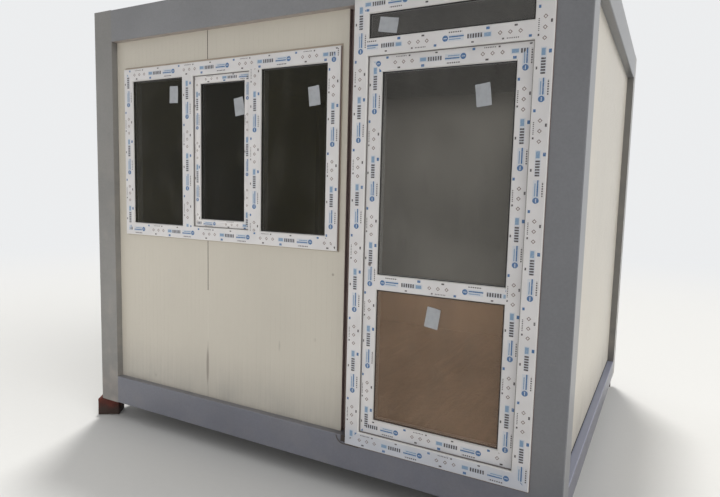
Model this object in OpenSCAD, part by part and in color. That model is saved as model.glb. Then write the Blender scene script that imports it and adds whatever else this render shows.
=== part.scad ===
// Security guard booth: a folded steel frame on four blocks, closed with sandwich panels,
// with one white three-light window and one white glazed door in the front wall.
// Millimetres. X runs along the front, Y into the booth, Z up. The origin is on the ground,
// in the middle of the booth's outline.

/* [Steel frame] */
// Width of the steel frame along the front
frame_w = 3075; // [2750:5:3600]
// Depth of the steel frame from front to back
frame_d = 2680; // [2200:5:3400]
// Height of the steel frame above the blocks
frame_h = 2600; // [2350:5:2900]
// Width of a corner post on the front and back
post_front_w = 165; // [130:1:180]
// Width of a corner post on the sides
post_side_w = 165; // [130:1:200]
// Thickness of the folded steel
steel_t = 4; // [2:0.5:5]
// Outer radius of a fold in the steel
bend_r = 6; // [5:0.5:8]
// Thickness of the plate that caps a corner post
cap_t = 8; // [4:1:12]

/* [Floor and roof] */
// Height of the front and back floor beams
sill_h = 186; // [150:1:200]
// Height of the side floor beams
side_sill_h = 130; // [100:1:145]
// Height of the front and back roof beams
head_h = 198; // [175:1:200]
// Height of the side roof beams
side_head_h = 172; // [120:1:174]
// Depth of the lip folded down inside each roof beam
gutter_lip = 44; // [30:1:60]
// Thickness of the floor board
floor_t = 20; // [12:1:30]
// Number of floor joists
joist_count = 6; // [4:1:8]
// Width of a floor joist
joist_w = 60; // [40:1:80]
// Number of roof purlins
purlin_count = 4; // [3:1:6]
// Width of a roof purlin
purlin_w = 40; // [30:1:60]
// Thickness of the ceiling board
ceiling_t = 20; // [12:1:30]
// Thickness of the trapezoid roof sheet
roof_sheet_t = 3; // [2:0.5:5]
// Height of a rib of the roof sheet
rib_h = 24; // [12:1:25]
// Number of ribs of the roof sheet
rib_count = 12; // [8:1:16]

/* [Wall panels] */
// Thickness of a wall panel
panel_t = 60; // [50:1:70]
// Depth of the front and back panels behind the steel face
front_recess = 42; // [35:1:50]
// Depth of the side panels behind the steel face
side_recess = 46; // [30:1:60]
// Width that a whole panel covers
panel_module = 960; // [900:5:1000]
// Length of the tongue on a panel edge
tongue_l = 14; // [8:1:20]
// Thickness of the tongue
tongue_t = 18; // [10:1:24]
// Clearance of a tongue in its groove
tongue_gap = 0.5; // [0.2:0.1:1]
// Depth of the chamfer along a panel joint
joint_chamfer = 3; // [1:0.5:5]

/* [Window] */
// Distance of the window frame from the left post
win_post_gap = 86; // [60:1:200]
// Distance of the window frame from the door frame
win_door_gap = 95; // [70:1:200]
// Distance of the window frame's head below the front roof beam
win_drop = 179; // [100:1:300]
// Height of the window frame
win_h = 1055; // [800:5:1300]
// Width of the window frame from its edge to the glass
win_sight = 79; // [65:1:95]
// Width of a mullion from light to light
mullion_w = 87; // [70:1:100]
// Distance that the window frame stands out from the panel
win_proud = 20; // [10:1:30]
// Width of the frame's lip over the panel
win_lip = 15; // [8:1:25]
// Depth of the window frame from front to back
win_depth = 70; // [66:1:90]
// Distance that the sash lies behind the face of the window frame
sash_recess = 17; // [15:1:20]
// Width of the sash that shows beside its glass
sash_sight = 47; // [35:1:60]
// Depth of the sash from front to back
sash_depth = 50; // [44:1:52]
// Overlap of the window frame's stop on the sash
sash_lap = 14; // [8:1:20]
// Chamfer along the edges of the white profiles
profile_edge = 3; // [1:0.5:5]

/* [Glass] */
// Thickness of a sealed glass unit
glass_t = 24; // [18:1:26]
// Depth of the glass behind the face that holds it
glass_inset = 8; // [5:1:10]
// Slope of the bead from the face to the glass
bead_slope = 4; // [2:0.5:8]
// Depth that the glass reaches into its groove
glass_bite = 12; // [8:1:15]
// Clearance at the edge of a glass unit
glass_gap = 2; // [1:0.5:4]

/* [Door frame] */
// Width of the door frame over its outer lip
door_w = 960; // [930:1:965]
// Distance of the door frame's lip below the top of the front floor beam
door_drop = 36; // [25:1:50]
// Distance of the door frame's lip above the foot of the front roof beam
door_rise = 28; // [20:1:50]
// Overlap of the door frame's lip on the right post
door_lap = 16; // [8:1:20]
// Thickness of the lip that lies on the steel
door_lip_t = 12; // [8:1:16]
// Depth of the door frame behind the steel face
door_depth = 58; // [50:1:60]
// Width of the door frame's face
door_face = 80; // [76:1:84]
// Width of the bar between door and top light
transom_w = 80; // [70:1:90]
// Height of the top light between the frame's faces
top_light_h = 123; // [90:1:300]
// Width of the dark channel between the last front panel and the door frame
channel_w = 62; // [30:1:90]
// Thickness of the dark channel's wall
channel_t = 3; // [2:0.5:5]
// Depth of the dark channel behind the panel face
channel_inset = 24; // [15:1:35]
// Overlap of the frame's lip on that channel
channel_lap = 6; // [4:1:10]

/* [Door leaf] */
// Overlap of the frame's stop on the leaf
leaf_lap = 8; // [5:1:12]
// Clearance between the leaf and the stop, at hinge side, top and foot
leaf_gap = 5; // [5:0.5:7]
// Clearance at the lock side, where the edge swings outwards
lock_gap = 8; // [7.5:0.5:10]
// Depth of the leaf from front to back
leaf_depth = 55; // [50:1:60]
// Width of a stile that shows beside the glass
stile_sight = 75; // [65:1:90]
// Height of the rails that show at head and foot
rail_sight = 78; // [65:1:95]
// Height of the middle rail between the two glass units
mid_rail_h = 80; // [60:1:110]
// Height of the middle rail's centre above the doorway's foot
mid_rail_z = 801; // [600:1:950]

/* [Door fittings] */
// Height of the knob above the floor board
knob_z = 1001; // [900:1:1100]
// Radius of the knob
knob_r = 23; // [18:1:30]
// Length of the knob from the leaf to its end
knob_l = 58; // [45:1:65]
// Height of the knob's ball as a share of its width
knob_squash = 0.75; // [0.5:0.05:1]
// Radius of the knob's neck
neck_r = 10; // [7:0.5:14]
// Radius of the knob's rose
rose_r = 27; // [22:1:32]
// Thickness of the knob's rose
rose_l = 8; // [5:0.5:12]
// Chamfer of the rose's edge
rose_edge = 3; // [1:0.5:4]
// Distance of the lock hole below the knob
lock_drop = 68; // [60:1:92]
// Radius of the lock hole in the outer face
lock_r = 6; // [4:0.5:9]
// Depth of the lock hole
lock_depth = 20; // [10:1:30]
// Radius of a hinge knuckle
knuckle_r = 8; // [7:0.5:9]
// Height of one half of a hinge
knuckle_h = 45; // [30:1:60]
// Radius of a hinge pin
pin_r = 4; // [3:0.5:5]
// Running clearance of a hinge pin
pin_gap = 0.05; // [0.02:0.01:0.1]
// Thickness of a hinge plate
hinge_plate_t = 4; // [3:0.5:6]
// Width of the hinge plate on the leaf
hinge_plate_w = 44; // [30:1:60]
// Distance of the outer hinges from the ends of the leaf
hinge_end = 260; // [150:5:400]

/* [Support blocks] */
// Height of a support block
block_h = 120; // [60:5:150]
// Length of a support block's front face
block_l = 150; // [120:5:240]
// Depth of a support block behind its front face
block_w = 120; // [100:5:180]
// Angle of a block to the front of the booth
block_turn = 34; // [25:1:40]
// Distance of a block's centre from the booth's side
block_x = 10; // [5:1:40]
// Distance of the back right block's centre from the booth's side
block_in = 105; // [100:5:150]
// Distance of a block's centre from the booth's front or back
block_y = 63; // [50:1:65]

/* [Hidden] */

$fn = 48;
eps = 1;

steel_colour = [0.47, 0.49, 0.50];
panel_colour = [0.80, 0.77, 0.70];
white_colour = [0.93, 0.93, 0.92];
glass_colour = [0.14, 0.14, 0.13, 0.6];
dark_colour = [0.16, 0.14, 0.13];
zinc_colour = [0.62, 0.64, 0.66];
board_colour = [0.55, 0.45, 0.35];
brick_colour = [0.38, 0.24, 0.20];

// Inner faces of the walls, measured from the steel's outer faces
wall_y = front_recess + panel_t;
wall_x = side_recess + panel_t;
room_w = frame_w - 2 * wall_x;
room_d = frame_d - 2 * wall_y;
head_z = frame_h - head_h;
side_head_z = frame_h - side_head_h;
beam_w = frame_w - 2 * post_front_w;
beam_d = frame_d - 2 * post_side_w;

// Door frame: lip, body and the opening between the faces
door_x1 = frame_w - post_front_w + door_lap;
door_x0 = door_x1 - door_w;
door_z0 = sill_h - door_drop;
door_z1 = head_z + door_rise;
body_x0 = door_x0 + channel_lap;
body_x1 = frame_w - post_front_w;
way_x0 = door_x0 + door_face;
way_x1 = door_x1 - door_face;
way_z0 = door_z0 + door_face;
way_z1 = door_z1 - door_face - top_light_h - transom_w;
top_light_z0 = way_z1 + transom_w + bead_slope;
top_light_z1 = door_z1 - door_face - bead_slope;
panel_end_x = body_x0 - channel_w;
panel_joint_x = panel_end_x - panel_module;

// Window
win_x = post_front_w + win_post_gap;
win_w = door_x0 - win_door_gap - win_x;
win_z = head_z - win_drop - win_h;
win_y = front_recess - win_proud;
light_w = (win_w - 2 * win_sight - 2 * mullion_w) / 3;
light_h = win_h - 2 * win_sight;
light_z = win_z + win_sight;
light_1_x = win_x + win_sight;
light_2_x = light_1_x + light_w + mullion_w;
light_3_x = light_2_x + light_w + mullion_w;
sash_y = win_y + sash_recess;

// Door leaf, behind the stop of the frame
leaf_x0 = way_x0 - leaf_lap;
leaf_x1 = way_x1 + leaf_lap;
leaf_z0 = way_z0 - leaf_lap;
leaf_z1 = way_z1 + leaf_lap;
leaf_y0 = leaf_gap;
leaf_y1 = leaf_y0 + leaf_depth;
pane_x0 = way_x0 + stile_sight;
pane_x1 = way_x1 - stile_sight;
low_pane_z0 = way_z0 + rail_sight;
low_pane_z1 = way_z0 + mid_rail_z - mid_rail_h / 2;
up_pane_z0 = way_z0 + mid_rail_z + mid_rail_h / 2;
up_pane_z1 = way_z1 - rail_sight;
hinge_x = leaf_x1 + knuckle_r;
hinge_y = leaf_y1 + knuckle_r;
knob_x = (leaf_x0 + pane_x0) / 2;
hinge_zs = [leaf_z0 + hinge_end, (leaf_z0 + leaf_z1) / 2, leaf_z1 - hinge_end];

// Places a piece drawn from the steel frame's front left foot into the booth's own frame
module placed() {
    translate([-frame_w / 2, -frame_d / 2, block_h]) children();
}

// Turns a front or left piece into its twin on the other side
module other_side() {
    translate([frame_w, 0, 0]) mirror([1, 0, 0]) children();
}
module other_end() {
    translate([0, frame_d, 0]) mirror([0, 1, 0]) children();
}

// Draws an outline given as [depth, height] along X, from x0 over a length
module along_x(x0, length) {
    translate([x0, 0, 0]) rotate([90, 0, 90]) linear_extrude(length) children();
}

// Draws an outline given as [width, height] along Y, from y0 over a length
module along_y(y0, length) {
    translate([0, y0 + length, 0]) rotate([90, 0, 0]) linear_extrude(length) children();
}

// Outline inside a folded section, drawn in by t: square at its open side, bent at the web
module fold_outline(reach, z0, z1, t) {
    polygon([
        [bend_r, z0 + t], [reach, z0 + t], [reach, z1 - t],
        [bend_r, z1 - t], [t, z1 - bend_r], [t, z0 + bend_r]
    ]);
    for (z = [z0 + bend_r, z1 - bend_r])
        translate([bend_r, z]) circle(bend_r - t);
}

// A folded channel, open to the inside: web outside, flanges at foot and head
module channel(reach, z0, z1) {
    difference() {
        fold_outline(reach, z0, z1, 0);
        fold_outline(reach + eps, z0, z1, steel_t);
    }
}

// A folded roof beam: the channel with a lip turned down to hold the roof sheet
module gutter_channel(reach, z0, z1) {
    channel(reach, z0, z1);
    translate([reach - steel_t, z1 - gutter_lip]) square([steel_t, gutter_lip]);
}

module front_sill_beam() {
    along_x(post_front_w, beam_w) channel(wall_y, 0, sill_h);
}
module side_sill_beam() {
    along_y(post_side_w, beam_d) channel(wall_x, 0, side_sill_h);
}
module front_head_beam() {
    along_x(post_front_w, beam_w) gutter_channel(wall_y, head_z, frame_h);
}
module side_head_beam() {
    along_y(post_side_w, beam_d) gutter_channel(wall_x, side_head_z, frame_h);
}

module front_floor_beam() {
    color(steel_colour) placed() front_sill_beam();
}
module back_floor_beam() {
    color(steel_colour) placed() other_end() front_sill_beam();
}
module left_floor_beam() {
    color(steel_colour) placed() side_sill_beam();
}
module right_floor_beam() {
    color(steel_colour) placed() other_side() side_sill_beam();
}
module front_roof_beam() {
    color(steel_colour) placed() front_head_beam();
}
module back_roof_beam() {
    color(steel_colour) placed() other_end() front_head_beam();
}
module left_roof_beam() {
    color(steel_colour) placed() side_head_beam();
}
module right_roof_beam() {
    color(steel_colour) placed() other_side() side_head_beam();
}

// Outline of a corner post, drawn in by t, with a bend at the booth's corner
module post_outline(t) {
    polygon([
        [bend_r, t], [post_front_w - t, t], [post_front_w - t, wall_y - t],
        [wall_x - t, wall_y - t], [wall_x - t, post_side_w - t], [t, post_side_w - t], [t, bend_r]
    ]);
    translate([bend_r, bend_r]) circle(bend_r - t);
}

// A folded corner post: an angle of two closed legs with a cap plate, open at the foot
module corner_post() {
    difference() {
        linear_extrude(frame_h) post_outline(0);
        translate([0, 0, -eps]) linear_extrude(frame_h - cap_t + eps) post_outline(steel_t);
    }
}

module front_left_post() {
    color(steel_colour) placed() corner_post();
}
module front_right_post() {
    color(steel_colour) placed() other_side() corner_post();
}
module back_left_post() {
    color(steel_colour) placed() other_end() corner_post();
}
module back_right_post() {
    color(steel_colour) placed() other_end() other_side() corner_post();
}

// A row of channels laid in the front and back beams, up to the bends beside the webs
module joist_row(count, width, z0, z1) {
    pitch = room_w / count;
    for (i = [0 : count - 1])
        translate([wall_x + pitch * (i + 0.5) - width / 2, 0, 0])
            along_y(bend_r, frame_d - 2 * bend_r) channel(width, z0, z1);
}

module floor_joists() {
    color(zinc_colour) placed() joist_row(joist_count, joist_w, steel_t, sill_h - floor_t);
}
module floor_board() {
    color(board_colour) placed()
        translate([wall_x, wall_y, sill_h - floor_t]) cube([room_w, room_d, floor_t]);
}
module roof_purlins() {
    color(zinc_colour) placed()
        joist_row(purlin_count, purlin_w, head_z + steel_t, frame_h - gutter_lip);
}
module ceiling_board() {
    color(white_colour) placed()
        translate([wall_x, wall_y, head_z + steel_t - ceiling_t]) cube([room_w, room_d, ceiling_t]);
}

// Under line of the roof sheet: flat pans between ribs with sloped sides
function rib_line(pitch, z) = [
    for (i = [0 : rib_count - 1])
        each [
            [pitch * (i + 0.30), z], [pitch * (i + 0.40), z + rib_h],
            [pitch * (i + 0.60), z + rib_h], [pitch * (i + 0.70), z]
        ]
];

// The roof sheet lies on the purlins, with its ribs across them
module roof_sheet() {
    pitch = room_d / rib_count;
    foot_z = frame_h - gutter_lip;
    low = concat([[0, foot_z]], rib_line(pitch, foot_z), [[room_d, foot_z]]);
    high = [for (i = [len(low) - 1 : -1 : 0]) low[i] + [0, roof_sheet_t]];
    color(zinc_colour) placed()
        translate([0, wall_y, 0]) along_x(wall_x, room_w) polygon(concat(low, high));
}

// Plan outline of a wall panel along X, outer face at y 0: a groove at its start if start_joint
// is true, a tongue at its end if end_joint is true, and a chamfer where it meets the next one
function panel_start(joint) = joint
    ? [[0, panel_t / 2 + tongue_t / 2], [tongue_l, panel_t / 2 + tongue_t / 2],
       [tongue_l, panel_t / 2 - tongue_t / 2], [0, panel_t / 2 - tongue_t / 2],
       [0, joint_chamfer], [joint_chamfer, 0]]
    : [[0, 0]];
function panel_end(width, joint) = joint
    ? [[width - joint_chamfer, 0], [width, joint_chamfer],
       [width, panel_t / 2 - tongue_t / 2 + tongue_gap],
       [width + tongue_l - tongue_gap, panel_t / 2 - tongue_t / 2 + tongue_gap],
       [width + tongue_l - tongue_gap, panel_t / 2 + tongue_t / 2 - tongue_gap],
       [width, panel_t / 2 + tongue_t / 2 - tongue_gap]]
    : [[width, 0]];

module panel(width, z0, z1, start_joint, end_joint) {
    translate([0, 0, z0]) linear_extrude(z1 - z0)
        polygon(concat(
            panel_start(start_joint), panel_end(width, end_joint), [[width, panel_t], [0, panel_t]]
        ));
}

// The hole that the window frame's body goes through
module window_hole() {
    translate([win_x + win_lip, 0, win_z + win_lip])
        cube([win_w - 2 * win_lip, 2 * wall_y, win_h - 2 * win_lip]);
}

module front_panel_left() {
    color(panel_colour) placed() difference() {
        translate([post_front_w, front_recess, 0])
            panel(panel_joint_x - post_front_w, sill_h, head_z, false, true);
        window_hole();
    }
}
module front_panel_right() {
    color(panel_colour) placed() difference() {
        translate([panel_joint_x, front_recess, 0]) panel(panel_module, sill_h, head_z, true, false);
        window_hole();
    }
}

// Panel 0, 1 or 2 of a run: a whole panel in the middle between two that are cut alike
module panel_of_run(run, i, z0, z1) {
    cut_w = (run - panel_module) / 2;
    starts = [0, cut_w, cut_w + panel_module];
    translate([starts[i], 0, 0]) panel(i == 1 ? panel_module : cut_w, z0, z1, i > 0, i < 2);
}

module back_wall_panel(i) {
    color(panel_colour) placed() other_end()
        translate([post_front_w, front_recess, 0]) panel_of_run(beam_w, i, sill_h, head_z);
}
module back_panel_left() {
    back_wall_panel(0);
}
module back_panel_middle() {
    back_wall_panel(1);
}
module back_panel_right() {
    back_wall_panel(2);
}

// A side panel is drawn along X and turned to run along Y, with its outer face at the side
module side_wall_panel(i) {
    translate([side_recess, post_side_w, 0]) mirror([1, -1, 0])
        panel_of_run(beam_d, i, side_sill_h, side_head_z);
}
module left_panel_front() {
    color(panel_colour) placed() side_wall_panel(0);
}
module left_panel_middle() {
    color(panel_colour) placed() side_wall_panel(1);
}
module left_panel_back() {
    color(panel_colour) placed() side_wall_panel(2);
}
module right_panel_front() {
    color(panel_colour) placed() other_side() side_wall_panel(0);
}
module right_panel_middle() {
    color(panel_colour) placed() other_side() side_wall_panel(1);
}
module right_panel_back() {
    color(panel_colour) placed() other_side() side_wall_panel(2);
}

// A block with its front edges chamfered by c all round, mitred at the corners
module profile_block(x0, x1, z0, z1, y0, y1, c) {
    intersection() {
        translate([0, 0, z0]) linear_extrude(z1 - z0)
            polygon([[x0 + c, y0], [x1 - c, y0], [x1, y0 + c], [x1, y1], [x0, y1], [x0, y0 + c]]);
        along_x(x0, x1 - x0)
            polygon([[y0, z0 + c], [y0 + c, z0], [y1, z0], [y1, z1], [y0 + c, z1], [y0, z1 - c]]);
    }
}

// A way through, given by its inner edges: its sides slope in from the face at y0 over a depth,
// mitred at the corners, and then run straight down to y1
module flared_cut(x0, x1, z0, z1, y0, y1, slope, depth) {
    intersection() {
        translate([0, 0, z0 - slope]) linear_extrude(z1 - z0 + 2 * slope)
            polygon([
                [x0 - slope, y0 - eps], [x1 + slope, y0 - eps], [x1 + slope, y0],
                [x1, y0 + depth], [x1, y1 + eps], [x0, y1 + eps], [x0, y0 + depth], [x0 - slope, y0]
            ]);
        along_x(x0 - slope, x1 - x0 + 2 * slope)
            polygon([
                [y0 - eps, z0 - slope], [y0, z0 - slope], [y0 + depth, z0], [y1 + eps, z0],
                [y1 + eps, z1], [y0 + depth, z1], [y0, z1 + slope], [y0 - eps, z1 + slope]
            ]);
    }
}

// The way through a glazed light, with the bead's slope from the face to the glass
module light_cut(x0, x1, z0, z1, y0, y1) {
    flared_cut(x0, x1, z0, z1, y0, y1, bead_slope, glass_inset);
}

// The groove that the glass unit stands in, all round a light
module glass_groove(x0, x1, z0, z1, y0) {
    translate([x0 - glass_bite, y0 + glass_inset, z0 - glass_bite])
        cube([x1 - x0 + 2 * glass_bite, glass_t, z1 - z0 + 2 * glass_bite]);
}

module glass_unit(x0, x1, z0, z1, y0) {
    reach = glass_bite - glass_gap;
    translate([x0 - reach, y0 + glass_inset, z0 - reach])
        cube([x1 - x0 + 2 * reach, glass_t, z1 - z0 + 2 * reach]);
}

// The three-light window frame: lip on the panel, body through it, and two mullions
module window_frame() {
    color(white_colour) placed() difference() {
        union() {
            profile_block(
                win_x, win_x + win_w, win_z, win_z + win_h, win_y, front_recess, profile_edge
            );
            translate([win_x + win_lip, win_y, win_z + win_lip])
                cube([win_w - 2 * win_lip, win_depth, win_h - 2 * win_lip]);
        }
        for (x = [light_1_x, light_3_x]) {
            light_cut(x, x + light_w, light_z, light_z + light_h, win_y, win_y + win_depth);
            glass_groove(x, x + light_w, light_z, light_z + light_h, win_y);
        }
        flared_cut(
            light_2_x, light_2_x + light_w, light_z, light_z + light_h,
            win_y, win_y + win_depth, profile_edge, profile_edge
        );
        translate([light_2_x - sash_lap, sash_y, light_z - sash_lap])
            cube([light_w + 2 * sash_lap, win_depth, light_h + 2 * sash_lap]);
    }
}

sash_pane_x0 = light_2_x + sash_sight;
sash_pane_x1 = light_2_x + light_w - sash_sight;
sash_pane_z0 = light_z + sash_sight;
sash_pane_z1 = light_z + light_h - sash_sight;

module window_sash() {
    reach = sash_lap - glass_gap;
    color(white_colour) placed() difference() {
        profile_block(
            light_2_x - reach, light_2_x + light_w + reach, light_z - reach,
            light_z + light_h + reach, sash_y, sash_y + sash_depth, profile_edge
        );
        light_cut(sash_pane_x0, sash_pane_x1, sash_pane_z0, sash_pane_z1, sash_y, sash_y + sash_depth);
        glass_groove(sash_pane_x0, sash_pane_x1, sash_pane_z0, sash_pane_z1, sash_y);
    }
}

module fixed_glass(x) {
    color(glass_colour) placed() glass_unit(x, x + light_w, light_z, light_z + light_h, win_y);
}
module left_glass() {
    fixed_glass(light_1_x);
}
module right_glass() {
    fixed_glass(light_3_x);
}
module sash_glass() {
    color(glass_colour) placed()
        glass_unit(sash_pane_x0, sash_pane_x1, sash_pane_z0, sash_pane_z1, sash_y);
}

// The dark channel that closes the wall between the last panel and the door frame, open inside
module door_channel() {
    y0 = front_recess + channel_inset;
    color(dark_colour) placed() translate([panel_end_x, y0, sill_h]) difference() {
        cube([channel_w, wall_y - y0, head_z - sill_h]);
        translate([channel_t, channel_t, -eps])
            cube([channel_w - 2 * channel_t, wall_y - y0, head_z - sill_h + 2 * eps]);
    }
}

// The door frame: lip on the steel, body between sill, post and head, doorway and top light
module door_frame() {
    color(white_colour) placed() difference() {
        union() {
            profile_block(door_x0, door_x1, door_z0, door_z1, -door_lip_t, 0, profile_edge);
            translate([body_x0, -eps, sill_h])
                cube([body_x1 - body_x0, door_depth + eps, head_z - sill_h]);
        }
        flared_cut(
            way_x0, way_x1, way_z0, way_z1, -door_lip_t, door_depth, profile_edge, profile_edge
        );
        translate([leaf_x0 - lock_gap, 0, leaf_z0 - leaf_gap])
            cube([
                leaf_x1 - leaf_x0 + lock_gap + leaf_gap, door_depth + eps,
                leaf_z1 - leaf_z0 + 2 * leaf_gap
            ]);
        light_cut(
            way_x0 + bead_slope, way_x1 - bead_slope, top_light_z0, top_light_z1,
            -door_lip_t, door_depth
        );
        glass_groove(
            way_x0 + bead_slope, way_x1 - bead_slope, top_light_z0, top_light_z1, -door_lip_t
        );
    }
}

module transom_glass() {
    color(glass_colour) placed()
        glass_unit(way_x0 + bead_slope, way_x1 - bead_slope, top_light_z0, top_light_z1, -door_lip_t);
}

// The leaf: two stiles, three rails, grooves for two glass units and the lock hole
module door_leaf() {
    color(white_colour) placed() difference() {
        profile_block(leaf_x0, leaf_x1, leaf_z0, leaf_z1, leaf_y0, leaf_y1, profile_edge);
        light_cut(pane_x0, pane_x1, low_pane_z0, low_pane_z1, leaf_y0, leaf_y1);
        light_cut(pane_x0, pane_x1, up_pane_z0, up_pane_z1, leaf_y0, leaf_y1);
        glass_groove(pane_x0, pane_x1, low_pane_z0, low_pane_z1, leaf_y0);
        glass_groove(pane_x0, pane_x1, up_pane_z0, up_pane_z1, leaf_y0);
        translate([knob_x, leaf_y0 + lock_depth, sill_h + knob_z - lock_drop])
            rotate([90, 0, 0]) cylinder(r = lock_r, h = lock_depth + eps);
    }
}
module upper_door_glass() {
    color(glass_colour) placed() glass_unit(pane_x0, pane_x1, up_pane_z0, up_pane_z1, leaf_y0);
}
module lower_door_glass() {
    color(glass_colour) placed() glass_unit(pane_x0, pane_x1, low_pane_z0, low_pane_z1, leaf_y0);
}

// The knob on the room side, turned about its own line: rose, neck and ball
module inside_knob() {
    ball_z = knob_l - knob_r * knob_squash;
    neck_angle = -acos(neck_r / knob_r);
    turns = 12;
    color(white_colour) placed()
        translate([knob_x, leaf_y1, sill_h + knob_z]) rotate([-90, 0, 0])
            rotate_extrude() polygon(concat(
                [[0, 0], [rose_r, 0], [rose_r, rose_l - rose_edge], [rose_r - rose_edge, rose_l],
                 [neck_r, rose_l]],
                [for (i = [0 : turns])
                    let (a = neck_angle + (90 - neck_angle) * i / turns)
                    [knob_r * cos(a), ball_z + knob_r * knob_squash * sin(a)]]
            ));
}

// Hinges on the room side: the upper half with its pin turns with the leaf
module leaf_hinges() {
    color(white_colour) placed() for (z = hinge_zs) translate([hinge_x, hinge_y, z]) {
        translate([0, 0, pin_gap]) cylinder(r = knuckle_r, h = knuckle_h);
        translate([-knuckle_r - hinge_plate_w, -knuckle_r, pin_gap])
            cube([knuckle_r + hinge_plate_w, hinge_plate_t, knuckle_h]);
        translate([0, 0, -knuckle_h / 2]) cylinder(r = pin_r, h = knuckle_h / 2 + eps);
    }
}

// The lower half of each hinge, screwed to the door frame
module frame_hinges() {
    color(white_colour) placed() for (z = hinge_zs) difference() {
        union() {
            translate([hinge_x, hinge_y, z - knuckle_h]) cylinder(r = knuckle_r, h = knuckle_h);
            translate([hinge_x, door_depth, z - knuckle_h])
                cube([body_x1 - hinge_x - leaf_gap, hinge_plate_t, knuckle_h]);
            translate([hinge_x, door_depth, z - knuckle_h])
                cube([knuckle_r, hinge_y - door_depth, knuckle_h]);
        }
        translate([hinge_x, hinge_y, z - knuckle_h / 2 - pin_r])
            cylinder(r = pin_r + pin_gap, h = knuckle_h);
    }
}

// One block under each corner post, turned a little as laid by hand
module support_block(x) {
    translate([x, block_y, -block_h / 2]) rotate([0, 0, block_turn])
        cube([block_l, block_w, block_h], center = true);
}

// The back right block lies further in than the others
module support_blocks() {
    color(brick_colour) placed() {
        support_block(block_x);
        other_side() support_block(block_x);
        other_end() support_block(block_x);
        other_end() other_side() support_block(block_in);
    }
}

front_floor_beam();
back_floor_beam();
left_floor_beam();
right_floor_beam();
front_left_post();
front_right_post();
back_left_post();
back_right_post();
front_roof_beam();
back_roof_beam();
left_roof_beam();
right_roof_beam();
floor_joists();
floor_board();
roof_purlins();
ceiling_board();
roof_sheet();
front_panel_left();
front_panel_right();
back_panel_left();
back_panel_middle();
back_panel_right();
left_panel_front();
left_panel_middle();
left_panel_back();
right_panel_front();
right_panel_middle();
right_panel_back();
window_frame();
window_sash();
left_glass();
sash_glass();
right_glass();
door_channel();
door_frame();
transom_glass();
door_leaf();
upper_door_glass();
lower_door_glass();
inside_knob();
leaf_hinges();
frame_hinges();
support_blocks();
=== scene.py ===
"""Dresses the guard booth: finishes for its solids, and the thin and small pieces on them."""

import logging
import math
from collections.abc import Callable, Iterator
from contextlib import contextmanager
from dataclasses import dataclass
from enum import Enum
from functools import cached_property
from typing import ClassVar, NamedTuple

import bmesh
import bpy
from mathutils import Matrix, Vector


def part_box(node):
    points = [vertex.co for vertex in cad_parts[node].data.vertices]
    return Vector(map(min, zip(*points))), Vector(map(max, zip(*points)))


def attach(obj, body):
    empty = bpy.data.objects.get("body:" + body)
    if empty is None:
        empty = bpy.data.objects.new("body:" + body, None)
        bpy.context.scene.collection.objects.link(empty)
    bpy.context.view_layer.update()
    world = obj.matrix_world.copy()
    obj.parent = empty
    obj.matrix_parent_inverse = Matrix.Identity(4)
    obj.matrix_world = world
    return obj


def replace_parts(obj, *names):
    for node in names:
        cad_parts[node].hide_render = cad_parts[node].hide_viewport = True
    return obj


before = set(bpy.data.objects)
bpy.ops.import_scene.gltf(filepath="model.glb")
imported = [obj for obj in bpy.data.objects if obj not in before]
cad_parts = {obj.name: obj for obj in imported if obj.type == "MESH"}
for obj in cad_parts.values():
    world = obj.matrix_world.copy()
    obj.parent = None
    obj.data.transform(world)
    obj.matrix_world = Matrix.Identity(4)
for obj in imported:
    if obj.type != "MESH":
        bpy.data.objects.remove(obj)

log = logging.getLogger("booth")

FILM_MAP = "film"

# Sizes that the solids are drawn with, in metres
GLASS_REACH = 0.010
SASH_REACH = 0.012
LEAF_REACH = 0.008
BEAD_SLOPE = 0.004
PROFILE_EDGE = 0.003

# Radius of a thin piece's edges, as a share of its thickness
BEAD_EDGE = 0.45
GASKET_EDGE = 0.4
SLIGHT_EDGE = 0.3
TAPE_EDGE = 0.25

# How straight a face has to look along an axis to count as turned that way
FACING = 0.9

# Heights above the whole booth, for a finish that doesn't change between two heights
NOWHERE = (8.0, 9.0)

Piece = bpy.types.Object
Sockets = dict[int | str, object]
Triple = tuple[float, float, float]
EVEN: Triple = (1.0, 1.0, 1.0)


class Body(Enum):
    """The bodies that a piece can ride on."""

    BOOTH = "booth"
    DOOR = "door"


class Slot(Enum):
    """The record's material slots."""

    STEEL = "steel"
    PANEL = "panel"
    PVC = "pvc"
    GLASS = "glass"
    DARK_TRIM = "dark_trim"
    ZINC = "zinc"
    BOARD = "board"
    BRICK = "brick"


class Colour(NamedTuple):
    """A colour in linear light."""

    red: float
    green: float
    blue: float

    def rgba(self) -> tuple[float, float, float, float]:
        """Gives the colour with full cover."""
        return (*self, 1.0)

    def times(self, share: float) -> "Colour":
        """Gives the colour made lighter or darker by a share."""
        return Colour(self.red * share, self.green * share, self.blue * share)


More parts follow.
